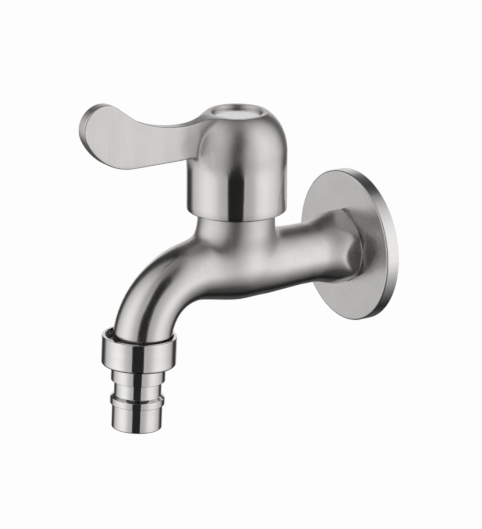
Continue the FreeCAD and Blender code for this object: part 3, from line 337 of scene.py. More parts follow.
def make_body(inlet_groove, outlet_groove, columns=192):
    """Three legs from the crossing, whose rays turn from the seams between the legs, halfway
    between their directions, until they stand square to each leg."""
    turn = np.arange(columns) / columns * 2 * pi
    skin = Skin()
    middle, far = CROSSING[1:], 60

    # Neck: up from the crossing
    climb = 19.2
    share = np.linspace(0, 1, 38)[:, None]
    places = middle + share * np.array([0, climb])
    neck = fan(body_shape, places, middle + np.array([climb, climb]), turn,
               middle + np.array([-climb, climb]))
    edge = [(NECK_RADIUS, 21), (NECK_RADIUS, 23.1), (13.73, 23.38), (13.45, NECK_TOP),
            (10.9, NECK_TOP), (10.6, 23.35), (ENTRY_RADIUS, 23.1), (ENTRY_RADIUS, 13),
            (CHAMBER_RADIUS, 12.6), (CHAMBER_RADIUS, 1), (0, 1)]
    top = rings(edge, VALVE, UPRIGHT, turn)
    skin.add(np.concatenate([neck, top]))

    # Tube: towards the wall, its collar, and the inlet's thread
    share = np.linspace(0, 1, 54)[:, None] ** 1.1
    places = middle + share * np.array([TUBE_LENGTH, -LIFT])
    below = np.concatenate([places[:, :1], np.full((len(places), 1), -far)], 1)
    tube = fan(body_shape, places, middle + TUBE_LENGTH, turn, below)
    along = np.concatenate([np.linspace(-25, -8, 35),
                            [-7.7, -7.4, -7.1, -6.5, -6.35, -6.1, -5.6, -5.25, COLLAR_FACE]])
    radius = collar_radius(along[:, None], turn[None, :])
    collar = np.stack([radius * np.cos(turn), np.broadcast_to(along[:, None], radius.shape),
                       radius * np.sin(turn)], -1)
    crest, bevel = INLET_END - 1, INLET_END - 0.4
    end = [(10.1, COLLAR_FACE), (10.1, -0.4), (INLET_RADIUS, 0)]
    end += [(INLET_RADIUS, place) for place in np.arange(0.0, crest - 0.05, INLET_PITCH / 8)[1:]]
    end += [(INLET_RADIUS, crest), (INLET_RADIUS - 1, INLET_END), (INLET_BORE + 0.4, INLET_END),
            (INLET_BORE, bevel), (INLET_BORE, -30), (0, -30)]
    end = rings(end, INLET, TOWARDS_WALL, turn, thread(INLET_PITCH, inlet_groove, 0, crest))
    skin.add(np.concatenate([tube, collar, end]))

    # Spout: out, over and down to the outlet's thread
    root_length = 20
    share = np.linspace(0, 1, 50)[:, None]
    places, heading = spout_line(share[:, 0] * root_length)
    places = places + (1 - share) * np.array([0, LIFT])
    square = np.array([heading[-1, 1], -heading[-1, 0]])
    slant = np.array([-1, 1])
    pivot = middle + slant * ((places[-1] - middle) @ heading[-1] / (slant @ heading[-1]))
    below = places - far * ((1 - share) * np.array([0, 1]) + share * square)
    root = fan(body_shape, places, pivot, turn, below)
    length = np.linspace(root_length, SPOUT_LENGTH, 50)[1:]
    places, heading = spout_line(length)
    outward = np.stack([heading[:, 1], -heading[:, 0]], -1)
    spout = fan(body_shape, places, places + outward, turn, places - outward, 14)
    outline = [(OUTLET_RADIUS - 0.1, 2.75), (OUTLET_RADIUS, 2.9)]
    outline += [(OUTLET_RADIUS, along) for along in np.arange(3.0, 5.81, OUTLET_PITCH / 8)]
    outline += [(11.4, 6.3), (11.2, 6.4), (OUTLET_BORE + 0.3, 6.4), (OUTLET_BORE, 6.1),
                (OUTLET_BORE, -3), (0, -3)]
    outlet = rings(outline, OUTLET, DOWN_OUTLET, -turn,
                   thread(OUTLET_PITCH, outlet_groove, 2.9, 6.0, -1))
    skin.add(np.concatenate([root, spout, outlet]))
    return skin.put("cast_body", 40)


# Handle: the bell with its lever, and the splined hub inside
BELL_RADIUS, BELL_TOP, BELL_FOOT = 18.0, 57.5, 21.7
RECESS_RADIUS, RECESS_FLOOR, HUB_FOOT = 9.23, 55, 40.9
SPLINE_RADIUS, SPLINE_DEPTH, SPLINE_TEETH, SPLINE_TOP = 3.65, 0.45, 20, 49.1
LEVER_HALF, LEVER_LOW = 2.1, 43.5
LEVER_EDGE, BELL_EDGE = 0.5, 0.12
TIP_CENTRE, TIP_RADIUS = (56.03, 59.6), 8.6
LEVER_TIP = np.array([TIP_CENTRE[0] + TIP_RADIUS, TIP_CENTRE[1]])

# Arcs of the lever's outline as the reach and the height of the centre and the radius, which
# is negative below the centre; the top's start with the reach where each ends. The slope is
# its start, its end, its height at the start and its steepness
TOP_ARCS = ((16.92, 10.84, 32.5, 25), (23.0, 23, 81, -25), (40.27, 23, 101, -45),
            (45.5, 31.06, 81.61, -24))
LEVER_SLOPE = (45.5, 50.85, 62.44, tan(radians(37)))
LOW_ARC, CURL_END = (44, 65.5, -22), 63.76

# The bell's two arcs as the reach and the height of the centre and the radius
SHOULDER = ((-0.96, 43.3, 18.96), (2.54, 44.97, 15.08))
SHOULDER_TURN = radians(25.5)


def bell_shape(points):
    """A round wall, a wide arc over it, and a narrower arc that leads to the flat top."""
    reach = np.hypot(points[..., 0], points[..., 1])
    z = points[..., 2]
    (low_out, low_up, low_size), (top_out, top_up, top_size) = SHOULDER
    low = np.hypot(reach - low_out, z - low_up) - low_size
    top = np.hypot(reach - top_out, z - top_up) - top_size
    angle = np.arctan2(z - low_up, reach - low_out)
    return np.where(z < low_up, reach - BELL_RADIUS, np.where(angle < SHOULDER_TURN, low, top))


def lever_shape(points):
    """An upright plate with rounded lower edges, on the side that the lever points to."""
    side = np.abs(points[..., 0]) - LEVER_HALF + LEVER_EDGE
    below = LEVER_LOW - points[..., 2] + LEVER_EDGE
    off = np.hypot(np.maximum(side, 0), np.maximum(below, 0))
    inner = np.minimum(np.maximum(side, below), 0)
    return off + inner - LEVER_EDGE + 50.0 * (points[..., 1] > 0)


def arc_height(reach, centre, level, radius):
    """Height of an arc: level + sqrt(radius^2 - (reach - centre)^2), or with the root taken
    off where the radius is negative, for an arc below its centre."""
    return level + np.copysign(np.sqrt(np.maximum(radius ** 2 - (reach - centre) ** 2, 0)), radius)


def lever_top(reach):
    """Height of the lever's top: flat on the bell, an S of two arcs down to the dip,
    up in two wider arcs and a slope, and over the round tip."""
    reach = np.asarray(reach, float)
    ends, arcs = [reach < end for end, *_ in TOP_ARCS], [arc for _, *arc in TOP_ARCS]
    slope_start, slope_end, slope_level, slope = LEVER_SLOPE
    return np.select(
        [reach < arcs[0][0], *ends, reach < slope_end],
        [BELL_TOP + 0 * reach, *(arc_height(reach, *arc) for arc in arcs),
         slope_level + (reach - slope_start) * slope],
        arc_height(reach, *TIP_CENTRE, TIP_RADIUS))


def lever_bottom(reach):
    """Height of the lever's underside: flat, then an arc that curls up to the tip."""
    reach = np.asarray(reach, float)
    curl = arc_height(reach, *LOW_ARC)
    tip = arc_height(reach, *TIP_CENTRE, -TIP_RADIUS)
    return np.select([reach < LOW_ARC[0], reach < CURL_END],
                     [LEVER_LOW + 0 * reach, np.minimum(curl, tip)], tip)


def outline_normals(points, outward):
    """Unit normals of an outline of (reach, height), on the side that outward gives."""
    run = np.gradient(points, axis=0)
    normal = np.stack([-run[:, 1], run[:, 0]], -1) * outward
    return normal / np.maximum(np.linalg.norm(normal, axis=1, keepdims=True), 1e-12)


def soft_corner(start, corner, end, steps=4):
    """Points between start and end on the curve (1-t)^2 start + 2t(1-t) corner + t^2 end."""
    t = np.linspace(0, 1, steps + 1).reshape((-1,) + (1,) * np.ndim(start))
    return (1 - t) ** 2 * start + 2 * t * (1 - t) * corner + t * t * end


TOWARDS_LEVER = np.array([[0.0, -1.0, 0.0], [1.0, 0.0, 0.0], [0.0, 0.0, 1.0]])
WINDOW = radians(4.7)
SIDE_SHARES = np.sin(np.linspace(0, 1, 30) * 1.35) / sin(1.35)
TOP_STRIP, LOW_STRIP = 12, 4


def lever_sections(count=72):
    """Cross-sections of the lever from the window in the bell to the tip: side, rounded
    corner, top, rounded corner, side, and the same below, as (x, reach, height)."""
    first = LEVER_HALF / tan(WINDOW)
    reach = first + (LEVER_TIP[0] - first) * np.sin(np.linspace(0, pi / 2, count))
    top = np.stack([reach, lever_top(reach)], -1)
    low = np.stack([reach, lever_bottom(reach)], -1)
    top[-1] = low[-1] = LEVER_TIP
    top_normal, low_normal = outline_normals(top, 1), outline_normals(low, -1)
    top_normal[0], low_normal[0] = (0, 1), (0, -1)
    top_normal[-1] = low_normal[-1] = (1, 0)
    top_inset, low_inset = top - LEVER_EDGE * top_normal, low - LEVER_EDGE * low_normal

    def at(x, outline):
        return np.concatenate([np.full((count, 1), float(x)), outline], 1)

    half, strip = LEVER_HALF, LEVER_HALF - LEVER_EDGE
    side = (at(half, low_inset) + SIDE_SHARES[:, None, None]
            * (at(half, top_inset) - at(half, low_inset)))
    top_corner = soft_corner(at(half, top_inset), at(half, top), at(strip, top))
    low_corner = soft_corner(at(half, low_inset), at(half, low), at(strip, low))
    mirror = np.array([-1, 1, 1])
    over = [at(x, top) for x in np.linspace(strip, -strip, TOP_STRIP + 1)[1:-1]]
    under = [at(x, low) for x in np.linspace(-strip, strip, LOW_STRIP + 1)[1:-1]]
    loop = [*side, *top_corner[1:], *over, *(top_corner * mirror)[:0:-1], *(side * mirror)[::-1],
            *(low_corner * mirror)[1:], *under, *low_corner[:0:-1]]
    return np.stack(loop, 1)


def make_handle(columns=191):
    """The bell by level rays from its axis, the lever by its cross-sections, and a top whose
    height follows the lever's, from the recess for the cap to the edge of both."""
    sections = lever_sections()
    first = sections[0]
    sides, corner = len(SIDE_SHARES), 4
    edge_rows = sides + corner
    right = first[:edge_rows]
    left = right * np.array([-1, 1, 1])
    over = first[edge_rows:edge_rows + TOP_STRIP - 1][::-1]
    low = np.concatenate([left[:1], first[-(2 * corner + LOW_STRIP - 1):], right[:1]])
    low_turn = np.arctan2(low[:, 0], low[:, 1])
    window_turn = low_turn[1:-1]

    u = np.linspace(-1, 1, columns)
    turn = pi + (pi - WINDOW) * (1.4 * u - 0.4 * u ** 3)
    around = np.concatenate([turn, window_turn])
    shape = joined(bell_shape, lever_shape,
                   lambda points: 1.8 + 4 * eased(points[..., 2], LEVER_LOW + 6, BELL_TOP))

    def to_local(points):
        return points * np.array([1, -1, 1])

    # Wall: level rays up to the lever's underside
    heights = np.array([22.3, 24.5, 27.5, 31, 34, 36.5, 38.2, 39.2, 39.9, 40.4, 40.9, 41.4, 41.9,
                        42.3, 42.7, 43.0, 43.25, 43.42, 43.49])[:, None]
    starts = np.zeros((len(heights), len(around), 3))
    starts[..., 2] = heights
    level = np.stack([np.sin(around), -np.cos(around), 0 * around], -1)
    wall = cast_rays(shape, starts, np.broadcast_to(level, starts.shape), 30)

    # Shoulder: rows that share out the height between the underside and the top
    from_window = np.minimum(turn, 2 * pi - turn)
    near_lever = 1 - eased(from_window, WINDOW, radians(35))
    soft = BELL_EDGE + (LEVER_EDGE - BELL_EDGE) * near_lever
    foot = LEVER_LOW + LEVER_EDGE
    shares = SIDE_SHARES[:, None]

    def row_path(drop, share):
        def path(t):
            x, y = t * np.sin(turn), -t * np.cos(turn)
            return np.stack([x, y, foot + share * (lever_top(-y) - drop - foot)], -1)
        return path

    span = np.full((sides, columns), 2.0), np.full((sides, columns), 34.0)
    shoulder = leave(shape, row_path(soft, shares), *span)
    brim = leave(shape, row_path(0 * soft, np.ones((1, 1))), span[0][:1], span[1][:1])[0]
    run = np.gradient(brim[:, :2], axis=0)
    run[0], run[-1] = (0, 1), (0, -1)
    inward = np.stack([-run[:, 1], run[:, 0]], -1)
    inward /= np.linalg.norm(inward, axis=1, keepdims=True)
    inner = brim.copy()
    inner[:, :2] += inward * soft[:, None]
    inner[:, 2] = lever_top(-inner[:, 1])
    shoulder = np.concatenate([shoulder, soft_corner(shoulder[-1], brim, inner, corner)[1:]])
    shoulder[:, 0], shoulder[:, -1] = to_local(right), to_local(left)

    # Top: from the edge to the recess, then the recess, the spline and the hollow
    rim = np.concatenate([shoulder[-1], to_local(over)])
    circle = (RECESS_RADIUS + 0.25) * np.stack([np.sin(around), -np.cos(around)], -1)
    share = np.linspace(0, 1, 13)[:, None, None]
    flat = (1 - share) * rim[None, :, :2] + share * circle
    crown = np.concatenate([flat, lever_top(-flat[..., 1])[..., None]], -1)
    upper = rings([(9.3, 57.44), (RECESS_RADIUS, 57.28), (RECESS_RADIUS, RECESS_FLOOR),
                   (6.2, RECESS_FLOOR), (6, 54.8), (6, 51.1), (2.9, 51.1), (2.75, 50.95),
                   (2.75, SPLINE_TOP)], INLET, TOWARDS_LEVER, around)
    spline = rings([(SPLINE_RADIUS, SPLINE_TOP), (SPLINE_RADIUS, 45), (SPLINE_RADIUS, HUB_FOOT)],
                   INLET, TOWARDS_LEVER, around, lambda along, angle:
                   -SPLINE_DEPTH / 2 * (1 + np.cos(SPLINE_TEETH * angle)) + 0 * along)
    under = rings([(6.3, HUB_FOOT), (6.5, 41.1), (6.5, 50.5), (11, 50.5), (15.2, 44.7),
                   (15.2, 22.1), (15.6, BELL_FOOT), (17.4, BELL_FOOT), (17.63, 21.746),
                   (17.83, 21.876), (17.954, 22.07)], INLET, TOWARDS_LEVER, around)
    skin = Skin()
    skin.add(VALVE + np.concatenate([crown, upper, spline, under, wall]))
    skin.add(VALVE + np.concatenate([wall[-1:, :columns], shoulder]), wrap_columns=False)
    window_edge = np.concatenate([wall[-1, columns - 1:], wall[-1, :1]])
    skin.add(VALVE + np.stack([window_edge, to_local(low)]), wrap_columns=False)
    skin.add(VALVE + to_local(sections))
    return skin.put("bell_handle", 32)


# Materials
def new_material(name):
    """A node material, with its tree and its shader."""
    material = bpy.data.materials.new(name)
    material.use_nodes = True
    tree = material.node_tree
    shader = next(node for node in tree.nodes if node.type == "BSDF_PRINCIPLED")
    return material, tree, shader


def place_pattern(tree, scale, turn=(0, 0, 0)):
    """Object coordinates, turned and stretched."""
    coordinates = tree.nodes.new("ShaderNodeTexCoord")
    mapping = tree.nodes.new("ShaderNodeMapping")
    mapping.inputs["Rotation"].default_value = turn
    mapping.inputs["Scale"].default_value = scale
    tree.links.new(coordinates.outputs["Object"], mapping.inputs["Vector"])
    return mapping.outputs["Vector"]


def noise(tree, vector, detail=3.0, roughness=0.55):
    """Noise in cells of one unit of the vector it is given."""
    node = tree.nodes.new("ShaderNodeTexNoise")
    node.inputs["Scale"].default_value = 1.0
    node.inputs["Detail"].default_value = detail
    node.inputs["Roughness"].default_value = roughness
    tree.links.new(vector, node.inputs["Vector"])
    return node.outputs["Fac"]


def spread(tree, value, low, high, start=0.3, end=0.7):
    """Maps a value between start and end to the range from low to high."""
    node = tree.nodes.new("ShaderNodeMapRange")
    node.inputs["From Min"].default_value = start
    node.inputs["From Max"].default_value = end
    node.inputs["To Min"].default_value = low
    node.inputs["To Max"].default_value = high
    tree.links.new(value, node.inputs["Value"])
    return node.outputs["Result"]


def between(tree, share, first, second):
    """A colour mixed from two by a share."""
    node = tree.nodes.new("ShaderNodeMix")
    node.data_type = "RGBA"
    node.inputs["A"].default_value = (*first, 1)
    node.inputs["B"].default_value = (*second, 1)
    tree.links.new(share, node.inputs["Factor"])
    return node.outputs["Result"]


def bump(tree, shader, height, depth, before=None):
    """Raises the surface by a height of 0 to 1 times a depth in metres."""
    node = tree.nodes.new("ShaderNodeBump")
    node.inputs["Strength"].default_value = 1.0
    node.inputs["Distance"].default_value = depth
    tree.links.new(height, node.inputs["Height"])
    if before is not None:
        tree.links.new(before, node.inputs["Normal"])
    tree.links.new(node.outputs["Normal"], shader.inputs["Normal"])
    return node.outputs["Normal"]


def brushed(name, colour, roughness, grain, depth=0.0000015, turn=(0, 0, 0), polish=(),
            waves=0.0):
    """Brushed metal: long fine scratches as noise drawn out along the brushing,
    which vary the colour and the roughness and lift the surface a little.
    Each polish is (axis, start, end, share): before start the roughness is that share of
    the whole, and past end it is left as it was. Waves are broad, shallow swells."""
    material, tree, shader = new_material(name)
    shader.inputs["Metallic"].default_value = 1.0
    fine = noise(tree, place_pattern(tree, grain, turn), 4.0, 0.6)
    broad = noise(tree, place_pattern(tree, [value * 0.13 for value in grain], turn), 2.0)
    cloud = noise(tree, place_pattern(tree, (90, 90, 90)), 3.0)
    darker = tuple(value * 0.93 for value in colour)
    colours = between(tree, spread(tree, broad, 0, 1), darker, colour)
    tree.links.new(colours, shader.inputs["Base Color"])
    low, high = roughness
    whole = rough = maths(tree, "ADD", spread(tree, fine, low * 0.6, high * 0.6),
                          spread(tree, cloud, low * 0.4, high * 0.4))
    for axis, start, end, share in polish:
        parts = tree.nodes.new("ShaderNodeSeparateXYZ")
        tree.links.new(place_pattern(tree, (1, 1, 1)), parts.inputs["Vector"])
        late = (end - start) * 0.6
        drift = maths(tree, "MULTIPLY_ADD", cloud, late * 2, parts.outputs[axis])
        past = smooth_step(tree, drift, start + late, end + late)
        mix = tree.nodes.new("ShaderNodeMix")
        tree.links.new(past, mix.inputs["Factor"])
        tree.links.new(maths(tree, "MULTIPLY", whole, share), mix.inputs["A"])
        tree.links.new(rough, mix.inputs["B"])
        rough = mix.outputs["Result"]
    tree.links.new(rough, shader.inputs["Roughness"])
    lifted = bump(tree, shader, broad, depth * 2)
    if waves:
        swell = noise(tree, place_pattern(tree, (110, 110, 110)), 1.0, 0.4)
        lifted = bump(tree, shader, swell, waves, lifted)
    bump(tree, shader, fine, depth, lifted)
    return material


def plain_finish(name, colour, roughness, metallic=0.0, scale=400, depth=0.00001, change=0.85):
    """A fine grained finish: noise varies its colour and roughness and lifts it."""
    material, tree, shader = new_material(name)
    shader.inputs["Metallic"].default_value = metallic
    grain = noise(tree, place_pattern(tree, (scale, scale, scale)), 4.0)
    other = tuple(value * change for value in colour)
    tree.links.new(between(tree, spread(tree, grain, 0, 1), other, colour),
                   shader.inputs["Base Color"])
    tree.links.new(spread(tree, grain, *roughness), shader.inputs["Roughness"])
    bump(tree, shader, grain, depth)
    return material


def dress(material, *names):
    """Gives CAD nodes a material in place of the one they came with."""
    for name in names:
        mesh = NODES[name].data
        mesh.materials.clear()
        mesh.materials.append(material)


def finish_piece(obj, material, body, slot, *nodes):
    """Gives a piece its material and its body, in place of the CAD nodes. The slot is not used."""
    obj.data.materials.append(material)
    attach(obj, body)
    if nodes:
        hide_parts(*nodes)


# Settings
class TapSettings(bpy.types.PropertyGroup):
    steel: bpy.props.FloatVectorProperty(
        name="Stainless steel", description="Colour of the cast body and the handle",
        default=(0.66, 0.645, 0.625), subtype="COLOR", size=3, min=0, max=1)
    bright: bpy.props.FloatVectorProperty(
        name="Turned steel", description="Colour of the collar nut and the nozzle",
        default=(0.72, 0.71, 0.70), subtype="COLOR", size=3, min=0, max=1)
    cap: bpy.props.FloatVectorProperty(
        name="Cap", description="Colour of the cap in the bell's top",
        default=(0.78, 0.785, 0.80), subtype="COLOR", size=3, min=0, max=1)
    light: bpy.props.FloatProperty(
        name="Studio light", description="Strength of the light all round",
        default=1.5, min=0, max=3)
    inlet_groove: bpy.props.FloatProperty(
        name="Inlet thread", description="Depth of the inlet thread's groove",
        default=0.00116, min=0, max=0.0014, precision=5, unit="LENGTH")
    outlet_groove: bpy.props.FloatProperty(
        name="Outlet thread", description="Depth of the groove on the spout's end and in the nut",
        default=0.0006, min=0, max=0.0006, precision=5, unit="LENGTH")
    floor_drop: bpy.props.FloatProperty(
        name="Floor", description="How far the floor lies below the inlet's axis",
        default=0.16, min=0.06, max=1, unit="LENGTH")


# Stage: floor, light and camera
CAMERA_PLACE = (1.16533, -0.82167, 0.44617)
CAMERA_AZIMUTH = 56.481
CAMERA_ELEVATION = 17.696
CAMERA_ROLL = 0.4415
FOCAL_PIXELS, PICTURE_HEIGHT, SENSOR = 4083.53, 529, 36


def camera_axes():
    """Right, up and back of the camera, from its azimuth, elevation and roll."""
    azimuth, elevation = radians(CAMERA_AZIMUTH), radians(CAMERA_ELEVATION)
    roll = radians(CAMERA_ROLL)
    back = np.array([sin(azimuth) * cos(elevation), -cos(azimuth) * cos(elevation),
                     sin(elevation)])
    level = np.array([cos(azimuth), sin(azimuth), 0.0])
    upward = np.cross(back, level)
    right = level * cos(roll) + upward * sin(roll)
    return right, np.cross(back, right), back


def add_camera():
    """The photograph's camera, whose lens is focal pixels / picture height * sensor."""
    right, upward, back = camera_axes()
    data = bpy.data.cameras.new("camera")
    data.lens = FOCAL_PIXELS / PICTURE_HEIGHT * SENSOR
    data.sensor_width = SENSOR
    data.clip_start = 0.05
    camera = bpy.data.objects.new("camera", data)
    rows = np.eye(4)
    rows[:3, 0], rows[:3, 1], rows[:3, 2] = right, upward, back
    rows[:3, 3] = CAMERA_PLACE
    camera.matrix_world = Matrix(rows.tolist())
    bpy.context.scene.collection.objects.link(camera)
    bpy.context.scene.camera = camera


def maths(tree, operation, first, second=None, third=None):
    """One Math node on outputs or plain numbers."""
    node = tree.nodes.new("ShaderNodeMath")
    node.operation = operation
    for socket, value in zip(node.inputs, (first, second, third)):
        if value is None:
            continue
        if isinstance(value, (int, float)):
            socket.default_value = value
        else:
            tree.links.new(value, socket)
    return node.outputs["Value"]


def smooth_step(tree, value, start, end, low=0.0, high=1.0):
    """Goes smoothly from low to high while the value goes from start to end."""
    node = tree.nodes.new("ShaderNodeMapRange")
    node.interpolation_type = "SMOOTHSTEP"
    node.inputs["From Min"].default_value = start
    node.inputs["From Max"].default_value = end
    node.inputs["To Min"].default_value = low
    node.inputs["To Max"].default_value = high
    tree.links.new(value, node.inputs["Value"])
    return node.outputs["Result"]


def ramp(tree, value, low, high, stops):
    """A level that runs straight from stop to stop of (value, level)."""
    node = tree.nodes.new("ShaderNodeValToRGB")
    elements = node.color_ramp.elements
    while len(elements) < len(stops):
        elements.new(0.5)
    for element, (place, level) in zip(elements, stops):
        element.position = (place - low) / (high - low)
        element.color = (level, level, level, 1)
    tree.links.new(spread(tree, value, 0, 1, radians(low), radians(high)), node.inputs["Fac"])
    return node.outputs["Color"]


# Studio levels by degrees from the camera's azimuth, and by degrees up
ROUND_THE_TAP = ((0, 0.72), (25, 0.5), (38, 0.62), (52, 0.9), (62, 1.0), (75, 1.0), (90, 0.88),
                 (108, 0.66), (116, 0.58), (125, 0.2), (132, 0.05), (180, 0.04))
UP_THE_WALLS = ((-90, 0.04), (-60, 0.06), (-52, 0.2), (-38, 0.45), (-25, 0.8), (-15, 1.0),
                (18, 1.0), (33, 0.92), (44, 0.82), (53, 0.7), (65, 0.45), (90, 0.25))
UP_THE_BACKDROP = ((-90, 0.02), (-30, 0.1), (-14, 0.7), (-6, 0.78), (21, 0.78), (31, 0.12),
                   (45, 0.04), (90, 0.08))

# Where the backdrop starts, where the card ends to the side and upwards, how dark it is, and
# its lean: between the first two angles up it turns from the third angle to the fourth
BACKDROP_EDGE = radians(152), radians(160)
CARD_EDGE = radians(17.5), radians(19.5)
CARD_FADE = radians(48), radians(78)
CARD_DEPTH = 0.97
CARD_LEAN = radians(10), radians(34), radians(1.5), radians(-6)


def add_world(strength):
    """Pale walls all round, a white backdrop behind and one tall dark card in front that
    leans a little, which metal mirrors: the greater of walls and backdrop, each a level round
    the tap times a level upwards, times 1 - the card's share of its depth."""
    world = bpy.data.worlds.new("studio")
    bpy.context.scene.world = world
    world.use_nodes = True
    tree = world.node_tree
    tree.nodes.clear()
    direction = tree.nodes.new("ShaderNodeTexCoord")
    parts = tree.nodes.new("ShaderNodeSeparateXYZ")
    tree.links.new(direction.outputs["Generated"], parts.inputs["Vector"])
    across, away, up = (parts.outputs[axis] for axis in "XYZ")
    azimuth = radians(CAMERA_AZIMUTH)
    forward = maths(tree, "ADD", maths(tree, "MULTIPLY", across, sin(azimuth)),
                    maths(tree, "MULTIPLY", away, -cos(azimuth)))
    sideways = maths(tree, "ADD", maths(tree, "MULTIPLY", across, cos(azimuth)),
                     maths(tree, "MULTIPLY", away, sin(azimuth)))
    turned_by = maths(tree, "ARCTAN2", sideways, forward)
    turn = maths(tree, "ABSOLUTE", turned_by)
    rise = maths(tree, "ARCSINE", up)
    walls = maths(tree, "MULTIPLY", ramp(tree, turn, 0, 180, ROUND_THE_TAP),
                  ramp(tree, rise, -90, 90, UP_THE_WALLS))
    backdrop = maths(tree, "MULTIPLY", ramp(tree, rise, -90, 90, UP_THE_BACKDROP),
                     smooth_step(tree, turn, *BACKDROP_EDGE))
    lean = smooth_step(tree, rise, *CARD_LEAN)
    from_card = maths(tree, "ABSOLUTE", maths(tree, "ADD", turned_by, lean))
    card = maths(tree, "MULTIPLY", smooth_step(tree, from_card, *CARD_EDGE, 1.0, 0.0),
                 smooth_step(tree, rise, *CARD_FADE, 1.0, 0.0))
    level = maths(tree, "MULTIPLY", maths(tree, "MAXIMUM", walls, backdrop),
                  maths(tree, "SUBTRACT", 1.0, maths(tree, "MULTIPLY", card, CARD_DEPTH)))
    lamps = tree.nodes.new("ShaderNodeBackground")
    tree.links.new(maths(tree, "MULTIPLY", level, strength), lamps.inputs["Strength"])
    white = tree.nodes.new("ShaderNodeBackground")
    white.inputs["Color"].default_value = (1, 1, 1, 1)
    path = tree.nodes.new("ShaderNodeLightPath")
    mix = tree.nodes.new("ShaderNodeMixShader")
    output = tree.nodes.new("ShaderNodeOutputWorld")
    tree.links.new(path.outputs["Is Camera Ray"], mix.inputs["Fac"])
    tree.links.new(lamps.outputs["Background"], mix.inputs[1])
    tree.links.new(white.outputs["Background"], mix.inputs[2])
    tree.links.new(mix.outputs["Shader"], output.inputs["Surface"])


def add_floor(drop, columns=96, glow=0.97):
    """A round pale floor; mirrored rays pass it, so that metal sees the studio's card.
    What the camera sees of it glows by a share, and the rest keeps the object's shadow."""
    turn = np.arange(columns) / columns * 2 * pi
    reach, middle = np.array([150, 400, 1000, 2600]), -60
    points = np.stack([reach[:, None] * np.cos(turn), reach[:, None] * np.sin(turn) + middle,
                       np.full((len(reach), columns), -drop)], -1).reshape(-1, 3)
    faces = grid_faces(len(reach), columns) + [list(range(columns))[::-1]]
    floor = put_mesh("floor", points, [face[::-1] for face in faces], closed=False)
    material, tree, shader = new_material("pale_floor")
    shader.inputs["Base Color"].default_value = (0.92, 0.92, 0.92, 1)
    shader.inputs["Roughness"].default_value = 0.9
    shader.inputs["Specular IOR Level"].default_value = 0.1
    output = next(node for node in tree.nodes if node.type == "OUTPUT_MATERIAL")
    path = tree.nodes.new("ShaderNodeLightPath")
    white = tree.nodes.new("ShaderNodeEmission")
    clear = tree.nodes.new("ShaderNodeBsdfTransparent")
    seen = tree.nodes.new("ShaderNodeMixShader")
    passed = tree.nodes.new("ShaderNodeMixShader")
    tree.links.new(maths(tree, "MULTIPLY", path.outputs["Is Camera Ray"], glow), seen.inputs["Fac"])
    tree.links.new(shader.outputs["BSDF"], seen.inputs[1])
    tree.links.new(white.outputs["Emission"], seen.inputs[2])
    through = maths(tree, "MAXIMUM", path.outputs["Is Glossy Ray"],
                    path.outputs["Is Shadow Ray"])
    tree.links.new(through, passed.inputs["Fac"])
    tree.links.new(seen.outputs["Shader"], passed.inputs[1])
    tree.links.new(clear.outputs["BSDF"], passed.inputs[2])
    tree.links.new(passed.outputs["Shader"], output.inputs["Surface"])
    floor.data.materials.append(material)


class StageOperator(bpy.types.Operator):
    """Sets up the pale floor, the soft light and the camera"""
    bl_idname = "bib_tap.stage"
    bl_label = "Stage"

    def execute(self, context):
        scene = context.scene
        scene.view_settings.view_transform = "Standard"
        add_camera()
        add_world(scene.bib_tap.light)
        add_floor(scene.bib_tap.floor_drop / MM)
        return {"FINISHED"}


class BodyOperator(bpy.types.Operator):
    """Makes the cast body: neck, tube, spout and threads"""
    bl_idname = "bib_tap.body"
    bl_label = "Body"

    def execute(self, context):
        settings = context.scene.bib_tap
        material = brushed("satin_body", tuple(settings.steel), (0.3, 0.42), (700, 700, 120),
                           polish=(("Z", 0.0, 0.012, 0.66), ("Y", -0.088, -0.07, 0.5)),
                           waves=0.00006)
        body = make_body(settings.inlet_groove / MM, settings.outlet_groove / MM)
        finish_piece(body, material, "body", "satin_stainless", "tap_body")
        return {"FINISHED"}


class HandleOperator(bpy.types.Operator):
    """Makes the bell and its lever, and the cap in the bell's top"""
    bl_idname = "bib_tap.handle"
    bl_label = "Handle and cap"

    def execute(self, context):
        settings = context.scene.bib_tap
        material = brushed("brushed_handle", tuple(settings.steel), (0.28, 0.4),
                           (1500, 1500, 45), waves=0.00009,
                           polish=(("Y", -0.067, -0.062, 1.5), ("Y", -0.078, -0.073, 1.12),
                                   ("Z", 0.035, 0.044, 0.32)))
        finish_piece(make_handle(), material, "lever", "handle_stainless", "handle")
        cap = turned("cap_disc", np.array([(0, 55), (8.6, 55), (9.0, 55.15), (9.13, 55.4),
                                           (9.13, 56.0), (9.05, 56.2), (8.85, 56.3),
                                           (5, 56.32), (0, 56.33)]), VALVE, UPRIGHT,
                     closed=False)
        finish_piece(cap, plain_finish("cap_satin", tuple(settings.cap), (0.15, 0.24), 1.0),
                     "lever", "cap_aluminium", "index_cap")
        return {"FINISHED"}


class FlangeOperator(bpy.types.Operator):
    """Makes the round wall flange with its rolled rim"""
    bl_idname = "bib_tap.flange"
    bl_label = "Flange"

    def execute(self, context):
        bright = tuple(context.scene.bib_tap.bright)
        outline = rounded_outline([(10.53, -5.1, .15), (27.8, -5.1, .7), (27.8, 0, .2),
                                   (26.4, 0, .2), (26.4, -3.7, .3), (10.53, -3.7, .1)])
        flange = turned("wall_rose", outline, INLET, TOWARDS_WALL)
        finish_piece(flange, brushed("satin_flange", bright, (0.24, 0.34), (500, 60, 500)),
                     "body", "flange_stainless", "wall_flange")
        return {"FINISHED"}


